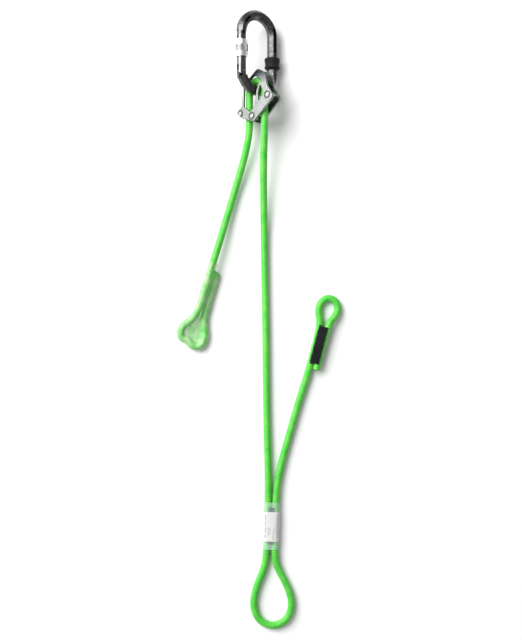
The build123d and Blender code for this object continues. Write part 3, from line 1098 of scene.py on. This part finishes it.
def tube(
    name: str, stops: list[Vector], columns: int, radius_at: Callable[[float, float], float], dome: float
) -> bpy.types.Object:
    """Makes a closed tube along a line, with a UV map that counts columns and length.

    Args:
        name: The piece's name.
        stops: The line's points, evenly spaced.
        columns: How many columns of faces go round it.
        radius_at: The radius at a share of a turn and a length along it.
        dome: How far the far end bulges.

    Returns:
        The piece, at the origin.
    """
    vertices: list[Vector] = []
    side = (stops[1] - stops[0]).cross(Vector((0, 0, 1))).normalized()
    step = (stops[1] - stops[0]).length
    for row, stop in enumerate(stops):
        ahead = stops[min(row + 1, len(stops) - 1)] - stops[max(row - 1, 0)]
        ahead.normalize()
        side = (side - ahead * side.dot(ahead)).normalized()
        other = ahead.cross(side)
        for column in range(columns):
            angle = math.tau * column / columns
            outward = side * math.cos(angle) + other * math.sin(angle)
            vertices.append(stop + outward * radius_at(column / columns, row * step))
    last = (len(stops) - 1) * columns
    for share in (0.86, 0.5):
        middle = stops[-1] + ahead * dome * (1 - share * share)
        vertices.extend(middle + (vertices[last + column] - stops[-1]) * share for column in range(columns))
    vertices.extend([stops[-1] + ahead * dome, stops[0].copy()])
    tip, foot, rows = len(vertices) - 2, len(vertices) - 1, len(stops) + 2
    faces, corners = [], []
    for row in range(rows - 1):
        for column in range(columns):
            beside = (column + 1) % columns
            base, above = row * columns, (row + 1) * columns
            faces.append((base + column, base + beside, above + beside, above + column))
            corners.append(((column, row), (column + 1, row), (column + 1, row + 1), (column, row + 1)))
    for column in range(columns):
        beside, end = (column + 1) % columns, (rows - 1) * columns
        faces.append((end + column, end + beside, tip))
        corners.append(((column, rows), (column + 1, rows), (column, rows)))
        faces.append((beside, column, foot))
        corners.append(((column + 1, 0), (column, 0), (column, 0)))
    mesh = bpy.data.meshes.new(name)
    mesh.from_pydata(vertices, [], faces)
    flat = mesh.uv_layers.new(name=SHEATH_UV)
    places = [place for face in corners for place in face]
    for loop, (column, row) in zip(flat.data, places):
        loop.uv = (column / columns, row * step)
    piece = bpy.data.objects.new(name, mesh)
    bpy.context.scene.collection.objects.link(piece)
    mesh.shade_smooth()
    return piece


@dataclass(frozen=True)
class Crossing:
    """Where a run of rope goes over from one body to the next."""

    onto: str
    start: Point
    end: Point


@dataclass
class RopeRun:
    """One run of the rope, from a joint or a sewn end to the next."""

    node: str
    route: tuple[Point, ...]
    body: str
    lay: str = "loose"
    crossing: Crossing | None = None
    far_end: FarEnd = FarEnd.JOINED
    sheath: Sheath = Sheath()

    def build(self, material: bpy.types.Material, with_pieces: list[bpy.types.Object]) -> bpy.types.Object:
        """Makes the run's braided tube, and fixes it to its body when it does not cross to another one.

        Args:
            material: The rope's material.
            with_pieces: The pieces that go with the run; not used.

        Returns:
            The tube.
        """
        line = smooth_line(self.route)
        dome = 0.6 * MM if self.far_end is FarEnd.BARE else 0.0
        stops = walk(line, self.sheath.step)
        piece = tube(f"{self.node}_braid", stops, self.sheath.columns, self.sheath.radius_at, dome)
        scale = self.sheath.carriers
        for loop in piece.data.uv_layers[SHEATH_UV].data:
            loop.uv = (loop.uv[0] * scale, loop.uv[1] * scale / self.sheath.lay)
        Bench.dress(piece, material, Slot.ROPE)
        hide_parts(self.node)
        if self.crossing:
            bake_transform(piece)
        else:
            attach(piece, self.body)
        return piece


@dataclass
class Bend:
    """The rope's turn over the carabiner, in the adjuster's own plane."""

    yaw: float = ADJUSTER_YAW
    radius: float = 11.8 * MM
    main_leg: float = 13.0 * MM
    tail_leg: float = 31.0 * MM

    def route(self) -> tuple[Point, ...]:
        """The control points of the turn, which touch its half circle between each other."""
        place = Matrix.Translation(HUB) @ Matrix.Rotation(math.radians(self.yaw), 4, "Y")
        reach = self.radius * math.tan(math.radians(22.5))
        flat = (
            (self.radius, -self.main_leg),
            (self.radius, -reach),
            (self.radius, reach),
            (reach, self.radius),
            (-reach, self.radius),
            (-self.radius, reach),
            (-self.radius, -reach),
            (-self.radius, -self.tail_leg),
        )
        return tuple(tuple(place @ Vector((across, up, 0.0))) for across, up in flat)


# ---------------------------------------------------------------- sewn ends
@dataclass
class BarTack:
    """A block of zigzag stitching over two strands that lie side by side."""

    name: str
    place: Matrix
    length: float
    width: float
    height: float
    thread: float = 0.34 * MM
    pitch: float = 1.15 * MM
    dip: float = 0.55 * MM

    def stitch(self, lean: float) -> bpy.types.Object:
        """Shapes one stitch, whose ends go down into the rope.

        Args:
            lean: How far its far end lies along the strands.

        Returns:
            The stitch, across the origin.
        """
        Bench.clear()
        bpy.ops.mesh.primitive_cylinder_add(
            vertices=8, radius=self.thread, depth=self.width, rotation=(0, math.pi / 2, 0)
        )
        piece = bpy.context.active_object
        bpy.ops.object.transform_apply(location=False, rotation=True, scale=False)
        half = self.width / 2
        with Bench.edit(piece):
            Bench.cut([(share * half, 0, 0) for share in (-0.86, -0.6, 0.0, 0.6, 0.86)], (1, 0, 0))
            Bench.choose(piece, "VERT", lambda place: abs(place.x) > 0.8 * half)
            bpy.ops.transform.translate(value=(0, 0, -0.25 * self.dip))
            Bench.choose(piece, "VERT", lambda place: abs(place.x) > 0.98 * half)
            bpy.ops.transform.translate(value=(0, 0, -0.75 * self.dip))
            Bench.choose(piece, "VERT", lambda place: place.x > 0.5 * half)
            bpy.ops.transform.translate(value=(0, lean / 2, 0))
            Bench.choose(piece, "VERT", lambda place: place.x < -0.5 * half)
            bpy.ops.transform.translate(value=(0, -lean / 2, 0))
        return piece

    def block(self) -> bpy.types.Object:
        """Shapes the close-set under-threads that the stitches lie on."""
        Bench.clear()
        size = (self.width - 2.2 * MM, self.length - 0.8 * MM, 0.7 * MM)
        bpy.ops.mesh.primitive_cube_add(size=1.0, scale=size)
        piece = bpy.context.active_object
        bpy.ops.object.transform_apply(location=False, rotation=False, scale=True)
        with Bench.edit(piece):
            bpy.ops.mesh.select_all(action="SELECT")
            bpy.ops.mesh.bevel(offset=0.3 * MM, segments=2)
        return piece

    def build(self, material: bpy.types.Material, slot: Slot) -> bpy.types.Object:
        """Makes the stitching on both faces of the strands.

        Args:
            material: The thread's material.
            slot: The record's slot.

        Returns:
            The stitching.
        """
        zig, zag = self.stitch(self.pitch * 0.8), self.stitch(-self.pitch * 0.8)
        zag.location.y = self.pitch / 2
        row = Bench.join([zig, zag], "row")
        count = round(self.length / self.pitch)
        Bench.finish_with(
            row,
            "ARRAY",
            count=count,
            use_relative_offset=False,
            use_constant_offset=True,
            constant_offset_displace=(0, self.pitch, 0),
        )
        with Bench.edit(row):
            bpy.ops.mesh.select_all(action="SELECT")
            bpy.ops.transform.translate(value=(0, -(count - 0.5) * self.pitch / 2, 0.45 * MM))
            bpy.ops.transform.vertex_random(offset=0.05 * MM, seed=4)
        face = Bench.join([row, self.block()], "face")
        Bench.settle(face, Matrix.Translation((0, 0, self.height)), "face")
        under = face.copy()
        under.data = face.data.copy()
        bpy.context.scene.collection.objects.link(under)
        under.data.transform(Matrix.Rotation(math.pi, 4, "Y"))
        piece = Bench.join([face, under], self.name)
        Bench.settle(piece, self.place, self.name)
        with Bench.edit(piece):
            bpy.ops.mesh.select_all(action="SELECT")
            bpy.ops.mesh.normals_make_consistent(inside=False)
        Bench.pick(piece)
        bpy.ops.object.shade_smooth_by_angle(angle=math.radians(50))
        Bench.dress(piece, material, slot)
        LOG.info("%s: %d stitches a face", self.name, 2 * count)
        return piece


@dataclass
class PairSleeve:
    """A thin sleeve drawn over two strands that lie side by side."""

    name: str
    place: Matrix
    length: float
    radius: float
    wall: float
    spacing: float = STRAND_SPACING
    waist: float = 0.0
    rows: int = 12

    def build(self, material: bpy.types.Material, slot: Slot) -> bpy.types.Object:
        """Makes the sleeve.

        Args:
            material: The sleeve's material.
            slot: The record's slot.

        Returns:
            The sleeve.
        """
        Bench.clear()
        bpy.ops.mesh.primitive_cylinder_add(
            vertices=64, radius=self.radius, depth=self.length, end_fill_type="NOTHING"
        )
        piece = bpy.context.active_object
        half = self.length / 2
        heights = [half * (2 * row / self.rows - 1) for row in range(1, self.rows)]
        with Bench.edit(piece):
            for side in (-1, 1):
                Bench.choose(piece, "VERT", lambda place, side=side: side * place.x > 0.02 * MM)
                bpy.ops.transform.translate(value=(side * self.spacing / 2, 0, 0))
            Bench.cut([(0, 0, height) for height in heights], (0, 0, 1))
            for side in (-1, 1):
                Bench.choose(
                    piece, "VERT", lambda place, side=side: abs(place.x) < 0.1 * MM and side * place.y > 0
                )
                bpy.ops.transform.translate(value=(0, -side * self.waist, 0))
            for side in (-1, 1):
                Bench.choose(piece, "VERT", lambda place, side=side: side * place.z > 0.97 * half)
                bpy.ops.transform.resize(value=(1.012, 1.03, 1.0))
        Bench.finish_with(piece, "SOLIDIFY", thickness=self.wall, offset=1.0)
        Bench.finish_with(piece, "BEVEL", width=0.22 * self.wall, segments=2, limit_method="ANGLE")
        Bench.pick(piece)
        bpy.ops.object.shade_smooth_by_angle(angle=math.radians(40))
        Bench.settle(piece, self.place @ Matrix.Rotation(-math.pi / 2, 4, "X"), self.name)
        Bench.dress(piece, material, slot)
        LOG.info("%s: %.1f mm long", self.name, self.length / MM)
        return piece


@dataclass
class LabelEnd:
    """The clear sleeve at the harness loop's neck, its label and the stitching under them."""

    rope_radius: float = ROPE_RADIUS
    sleeve_wall: float = 0.8 * MM
    label_wall: float = 0.12 * MM
    stitch_length: float = 46.0 * MM
    stitch_width: float = STRAND_SPACING

    def build(self, materials: dict[str, bpy.types.Material]) -> list[bpy.types.Object]:
        """Makes the sleeve, the label and the stitching.

        Args:
            materials: The finishes by name.

        Returns:
            The three pieces.
        """
        place, length = pair_place(LABEL_TOP, LABEL_BOTTOM)
        inner = self.rope_radius + 0.45 * MM
        sleeve = PairSleeve("clear_sleeve", place, length, inner, self.sleeve_wall, waist=0.25 * MM)
        clear = sleeve.build(materials["clear"], Slot.CLEAR)
        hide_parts("label_sleeve")
        outer = inner + self.sleeve_wall + 0.03 * MM
        wrap = PairSleeve("label_wrap", label_place(), LABEL_LENGTH, outer, self.label_wall)
        label = wrap.build(materials["label"], Slot.LABEL)
        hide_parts("label")
        height = self.rope_radius - 0.35 * MM
        tack = BarTack("label_tack", place, self.stitch_length, self.stitch_width, height)
        stitching = tack.build(materials["black thread"], Slot.THREAD)
        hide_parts("label_stitching")
        return [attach(piece, "harness_end") for piece in (clear, label, stitching)]


@dataclass
class TailEnd:
    """The thin film shrunk over the tail's sewn eye, with the stitching under it."""

    top: Point = (-0.0518, -0.2417, 0.0083)
    bottom: Point = (-0.0702, -0.2991, 0.0083)
    roll: float = 50.0
    rope_radius: float = ROPE_RADIUS
    film: float = 0.35 * MM
    voxel: float = 0.9 * MM
    bare_end: float = 5.0 * MM
    rounding: float = 1.8 * MM
    film_on_strand: float = 39.0 * MM
    web_step: float = 3.0 * MM
    web_from: int = 10
    web_to: int = 20
    web_sag: float = 1.2 * MM
    web_thickness: float = 2.8 * MM
    neck_width: float = 9.0 * MM
    neck_thickness: float = 9.0 * MM
    neck_drop: float = 10.0 * MM
    collar_size: Point = (12.0 * MM, 12.0 * MM, 7.0 * MM)
    collar_shift: float = -4.6 * MM
    crease_size: float = 5.0 * MM
    crease_depth: float = 0.9 * MM
    stitch_length: float = 40.0 * MM

    def strand(self, route: tuple[Point, ...], skip: float, leave: float) -> bpy.types.Object:
        """Makes a slightly fat tube along part of a route, for the film to start from.

        Args:
            route: The route.
            skip: How much of its start has no film.
            leave: How much of its end has no film.

        Returns:
            The tube.
        """
        stops = walk(smooth_line(route), MM)
        kept = stops[round(skip / MM) : len(stops) - round(leave / MM)]
        radius = self.rope_radius + self.film
        return tube("film_strand", kept, 20, lambda turn, along: radius, 0.0)

    def web(self) -> bpy.types.Object:
        """Makes the web of film across the eye."""
        line = walk(smooth_line(TAIL_EYE_ROUTE), self.web_step)
        ring = line[self.web_from : len(line) - self.web_to]
        middle = sum(ring, Vector()) / len(ring)
        faces = [(index, (index + 1) % len(ring), len(ring)) for index in range(len(ring))]
        mesh = bpy.data.meshes.new("film_web")
        mesh.from_pydata([*ring, middle - Vector((0, 0, self.web_sag))], [], faces)
        piece = bpy.data.objects.new("film_web", mesh)
        bpy.context.scene.collection.objects.link(piece)
        Bench.finish_with(piece, "SOLIDIFY", thickness=self.web_thickness, offset=0.0)
        return piece

    def slab(self, place: Matrix, size: Point, middle: Point) -> bpy.types.Object:
        """Makes a rounded slab that the film is stretched over.

        Args:
            place: The pair's frame.
            size: The slab's width, length and thickness.
            middle: Its middle in the pair's frame.

        Returns:
            The slab.
        """
        Bench.clear()
        bpy.ops.mesh.primitive_cube_add(size=1.0)
        piece = bpy.context.active_object
        piece.scale = size
        bpy.ops.object.transform_apply(location=False, rotation=False, scale=True)
        with Bench.edit(piece):
            bpy.ops.mesh.select_all(action="SELECT")
            bpy.ops.mesh.bevel(offset=self.rounding, segments=3)
        return Bench.settle(piece, place @ Matrix.Translation(middle), "film_slab")

    def build(self, materials: dict[str, bpy.types.Material]) -> list[bpy.types.Object]:
        """Makes the film and the stitching.

        Args:
            materials: The finishes by name.

        Returns:
            The two pieces.
        """
        place, length = pair_place(self.top, self.bottom, self.roll)
        reach = length_of(smooth_line(TAIL_ROUTE)) - self.film_on_strand
        neck_size = (self.neck_width, length - 2 * MM, self.neck_thickness)
        collar_middle = (self.collar_shift, (length - self.collar_size[1]) / 2, 0)
        parts = [
            self.strand(TAIL_ROUTE, reach, 0.0),
            self.strand(TAIL_EYE_ROUTE, 0.0, self.bare_end),
            self.web(),
            self.slab(place, neck_size, (0, -self.neck_drop, 0)),
            self.slab(place, self.collar_size, collar_middle),
        ]
        film = Bench.join(parts, "tail_film")
        film.data.remesh_voxel_size = self.voxel
        Bench.pick(film)
        bpy.ops.object.voxel_remesh()
        Bench.finish_with(film, "SMOOTH", factor=0.6, iterations=9)
        clouds = bpy.data.textures.new("film creases", "CLOUDS")
        clouds.noise_scale = self.crease_size
        Bench.finish_with(film, "DISPLACE", texture=clouds, strength=self.crease_depth, mid_level=0.5)
        bpy.ops.object.shade_smooth()
        film.data.uv_layers.new(name="flat")
        Bench.dress(film, materials["film"], Slot.FILM)
        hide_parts("tail_sleeve")
        height = self.rope_radius - 0.9 * MM
        tack = BarTack("tail_tack", place, self.stitch_length, STRAND_SPACING, height, dip=0.3 * MM)
        stitching = tack.build(materials["green thread"], Slot.GREEN_THREAD)
        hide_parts("tail_stitching")
        LOG.info("tail_film: %d faces", len(film.data.polygons))
        return [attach(piece, "tail_end") for piece in (film, stitching)]


@dataclass
class ArmEnd:
    """The bare black stitching that closes the arm's eye."""

    centre: Point = (0.0778, -0.3446, 0.0070)
    heading: float = 14.5
    roll: float = -20.4
    length: float = 48.4 * MM
    width: float = 13.2 * MM
    rope_radius: float = ROPE_RADIUS

    def build(self, materials: dict[str, bpy.types.Material]) -> list[bpy.types.Object]:
        """Makes the stitching.

        Args:
            materials: The finishes by name.

        Returns:
            The stitching, alone in a list.
        """
        turn = math.radians(self.heading)
        reach = Vector((math.sin(turn), math.cos(turn), 0)) * self.length / 2
        top, bottom = Vector(self.centre) + reach, Vector(self.centre) - reach
        place, length = pair_place(tuple(top), tuple(bottom), self.roll)
        height = self.rope_radius + 0.05 * MM
        tack = BarTack("arm_tack", place, length, self.width, height, thread=0.5 * MM, pitch=2.3 * MM)
        stitching = tack.build(materials["black thread"], Slot.THREAD)
        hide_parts("arm_stitching")
        return [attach(stitching, "arm_end")]


# ---------------------------------------------------------------- metalwork
@dataclass
class ScrewSleeve:
    """The bright screw sleeve on the gate, with a knurled band between two smooth ones."""

    length: float = 20.8 * MM
    radius: float = 8.1 * MM
    bore: float = 5.75 * MM
    band_from: float = 6.2 * MM
    band_length: float = 8.0 * MM
    columns: int = 72

    def build(self, material: bpy.types.Material) -> bpy.types.Object:
        """Makes the sleeve.

        Args:
            material: The bright metal.

        Returns:
            The sleeve.
        """
        Bench.clear()
        bpy.ops.mesh.primitive_cylinder_add(
            vertices=self.columns, radius=self.radius, depth=self.length, end_fill_type="NOTHING"
        )
        piece = bpy.context.active_object
        half = self.length / 2
        low, high = self.band_from - half, self.band_from + self.band_length - half
        groove = 0.5 * MM
        rows = 9
        cuts = [low - groove, low, high, high + groove]
        cuts += [low + (high - low) * row / rows for row in range(1, rows)]
        with Bench.edit(piece):
            Bench.cut([(0, 0, height) for height in cuts], (0, 0, 1))
            Bench.choose(
                piece, "FACE", lambda place: low - groove < place.z < low or high < place.z < high + groove
            )
            bpy.ops.mesh.inset(thickness=0.02 * MM, depth=-0.22 * MM)
            Bench.choose(piece, "FACE", lambda place: low < place.z < high)
            bpy.ops.mesh.inset(use_individual=True, thickness=0.17 * MM, depth=0.24 * MM)
        Bench.finish_with(piece, "SOLIDIFY", thickness=self.radius - self.bore, offset=-1.0)
        with Bench.edit(piece):
            rim = half - 0.01 * MM
            Bench.choose(
                piece, "VERT", lambda place: abs(place.z) > rim and place.xy.length > self.radius - MM
            )
            bpy.ops.transform.resize(value=(0.885, 0.885, 1.0))
        Bench.pick(piece)
        bpy.ops.object.shade_smooth_by_angle(angle=math.radians(28))
        Bench.settle(piece, sleeve_place(), "screw_sleeve")
        Bench.dress(piece, material, Slot.SLEEVE)
        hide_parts("locking_sleeve")
        LOG.info("screw_sleeve: %d faces", len(piece.data.polygons))
        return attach(piece, "sleeve")


@dataclass
class GateSpring:
    """The coil spring in the gate, copied whole from its frame node; the real spring shortens as the
    plunger rises.
    """

    stroke: float = 1.9 * MM

    def build(self, material: bpy.types.Material) -> bpy.types.Object:
        """Makes the spring.

        Args:
            material: The spring's steel.

        Returns:
            The spring.
        """
        node = frame["nodes"]["gate_spring"]
        coil = bpy.data.objects.new("closing_spring", node.data.copy())
        bpy.context.scene.collection.objects.link(coil)
        with Bench.edit(coil):
            bpy.ops.mesh.select_all(action="SELECT")
            bpy.ops.mesh.remove_doubles(threshold=0.001 * MM)
        Bench.pick(coil)
        bpy.ops.object.shade_smooth_by_angle(angle=math.radians(40))
        Bench.dress(coil, material, Slot.STEEL)
        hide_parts("gate_spring")
        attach(coil, "gate")
        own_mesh(coil)
        return coil


@dataclass
class Hardware:
    """The carabiner's and the adjuster's own metal and rubber pieces."""

    finishes: tuple[tuple[str, str], ...] = (
        ("carabiner_body", "gunmetal"),
        ("gate", "gate"),
        ("gate_pivot_pin", "steel"),
        ("gate_plunger", "steel"),
        ("rubber_keeper", "rubber"),
        ("front_side_plate", "front plate"),
        ("rear_side_plate", "rear plate"),
        ("right_rivet", "rivet"),
        ("lower_rivet", "rivet"),
        ("left_rivet", "rivet"),
        ("right_spacer", "steel"),
        ("lower_spacer", "steel"),
        ("left_spacer", "steel"),
    )

    def dress(self, materials: dict[str, bpy.types.Material]) -> None:
        """Gives each frame node its finish.

        Args:
            materials: The finishes by name.
        """
        for node, finish in self.finishes:
            Bench.dress(frame["nodes"][node], materials[finish])
            LOG.info("%s: %s", node, materials[finish].name)


# ---------------------------------------------------------------- studio
@dataclass
class Studio:
    """A pale floor, soft lights and a camera straight above."""

    look_at: Point = (0.0041, -0.3129, 0.0)
    height: float = 1.2
    view_height: float = 0.807
    horizon: float = 0.20
    zenith: float = 0.42
    left_wall: float = 0.20

    def floor(self) -> None:
        """Lays the floor just under the object."""
        Bench.clear()
        bpy.ops.mesh.primitive_plane_add(size=8.0, location=(0, 0, -0.0002))
        floor = bpy.context.active_object
        floor.name = "floor"
        material, graph, shader = start_material("pale floor")
        tone = place_effect(graph, Effects.mottle, Lumps=2.0, Contrast=0.4).outputs["Mask"]
        colour = graph.mix(tone, (0.93, 0.93, 0.93, 1.0), (0.90, 0.90, 0.90, 1.0))
        graph.tree.links.new(colour, shader.inputs["Base Color"])
        shader.inputs["Roughness"].default_value = 0.9
        Bench.dress(floor, material)

    def lamp(self, name: str, place: Point, aim: Point, size: float, power: float) -> None:
        """Hangs one soft square light.

        Args:
            name: The light's name.
            place: Where it hangs.
            aim: What it points at.
            size: Its side.
            power: Its power in watts.
        """
        data = bpy.data.lights.new(name, "AREA")
        data.shape = "SQUARE"
        data.size = size
        data.energy = power
        light = bpy.data.objects.new(name, data)
        light.location = place
        light.rotation_euler = (Vector(aim) - Vector(place)).to_track_quat("-Z", "Y").to_euler()
        bpy.context.scene.collection.objects.link(light)

    def lights(self) -> None:
        """Hangs the lights and sets the pale surroundings."""
        world = bpy.data.worlds.new("studio")
        world.use_nodes = True
        graph = Graph(world.node_tree)
        way = graph.add("ShaderNodeTexCoord").outputs["Generated"]
        parts = graph.add("ShaderNodeSeparateXYZ", {0: way}).outputs
        overhead = graph.spread(parts[2], 0.05, 0.75, self.horizon, self.zenith)
        leftward = graph.spread(parts[0], -0.1, -0.95, 0.0, self.left_wall)
        seen = graph.add("ShaderNodeLightPath").outputs["Is Camera Ray"]
        strength = graph.math("MAXIMUM", graph.math("ADD", overhead, leftward), seen)
        sky = graph.add("ShaderNodeBackground", {"Color": (1.0, 1.0, 1.0, 1.0), "Strength": strength})
        graph.add("ShaderNodeOutputWorld", {"Surface": sky.outputs[0]})
        bpy.context.scene.world = world
        self.lamp("key light", (-1.5, 0.9, 1.6), (0.0, -0.3, 0.0), 2.2, 124.0)

    def camera(self) -> None:
        """Sets the camera above the object."""
        data = bpy.data.cameras.new("camera")
        data.sensor_width = 36.0
        data.lens = data.sensor_width * self.height / self.view_height
        data.clip_end = 20.0
        camera = bpy.data.objects.new("camera", data)
        camera.location = (self.look_at[0], self.look_at[1], self.height)
        bpy.context.scene.collection.objects.link(camera)
        bpy.context.scene.camera = camera

    def build(self) -> None:
        """Sets the whole studio."""
        self.floor()
        self.lights()
        self.camera()
        bpy.context.scene.view_settings.view_transform = "Standard"


def make_materials() -> dict[str, bpy.types.Material]:
    """Makes every finish once and returns them by name."""
    finishes = {
        "rope": ROPE_GREEN,
        "gunmetal": GUNMETAL,
        "gate": GATE_METAL,
        "sleeve": BRIGHT_SLEEVE,
        "front plate": FRONT_PLATE,
        "rear plate": REAR_PLATE,
        "rivet": RIVET_STEEL,
        "steel": PLAIN_STEEL,
        "rubber": BLACK_RUBBER,
        "clear": CLEAR_PLASTIC,
        "film": SHRINK_FILM,
        "label": WHITE_LABEL,
        "black thread": BLACK_THREAD,
        "green thread": GREEN_THREAD,
    }
    return {name: finish.build() for name, finish in finishes.items()}


def build_rope(
    material: bpy.types.Material,
    label: list[bpy.types.Object],
    tail: list[bpy.types.Object],
    arm: list[bpy.types.Object],
) -> None:
    """Makes all runs of the rope.

    Args:
        material: The rope's material.
        label: The pieces on the harness loop's neck.
        tail: The pieces on the tail's sewn end.
        arm: The pieces on the arm's sewn end.
    """
    main_far = Crossing("harness_end", (0.0085, -0.0745, 0.030), (0.0130, -0.5411, 0.0059))
    tail_far = Crossing("tail_end", (-0.0102, -0.0745, 0.0166), (-0.0525, -0.2395, 0.0086))
    arm_far = Crossing("arm_end", (0.0221, -0.5480, 0.0059), (0.0300, -0.4920, 0.0048))
    runs = [
        (RopeRun("rope_bend", Bend().route(), "adjuster", "taut"), []),
        (RopeRun("main_strand", MAIN_ROUTE, "adjuster", "loose", main_far), []),
        (RopeRun("harness_loop", HARNESS_ROUTE, "harness_end"), label),
        (RopeRun("arm_strand", ARM_ROUTE, "harness_end", "loose", arm_far), []),
        (RopeRun("arm_eye", ARM_EYE_ROUTE, "arm_end", far_end=FarEnd.BARE), arm),
        (RopeRun("tail_strand", TAIL_ROUTE, "adjuster", "loose", tail_far), []),
        (RopeRun("tail_eye", TAIL_EYE_ROUTE, "tail_end", far_end=FarEnd.BARE), tail),
    ]
    for run, pieces in runs:
        run.build(material, pieces)


def main() -> None:
    """Builds the lanyard's looks."""
    logging.basicConfig(level=logging.INFO, format="%(message)s")
    Studio().build()
    materials = make_materials()
    Hardware().dress(materials)
    ScrewSleeve().build(materials["sleeve"])
    GateSpring().build(materials["steel"])
    label = LabelEnd().build(materials)
    tail = TailEnd().build(materials)
    arm = ArmEnd().build(materials)
    build_rope(materials["rope"], label, tail, arm)


if __name__ == "__main__":
    main()
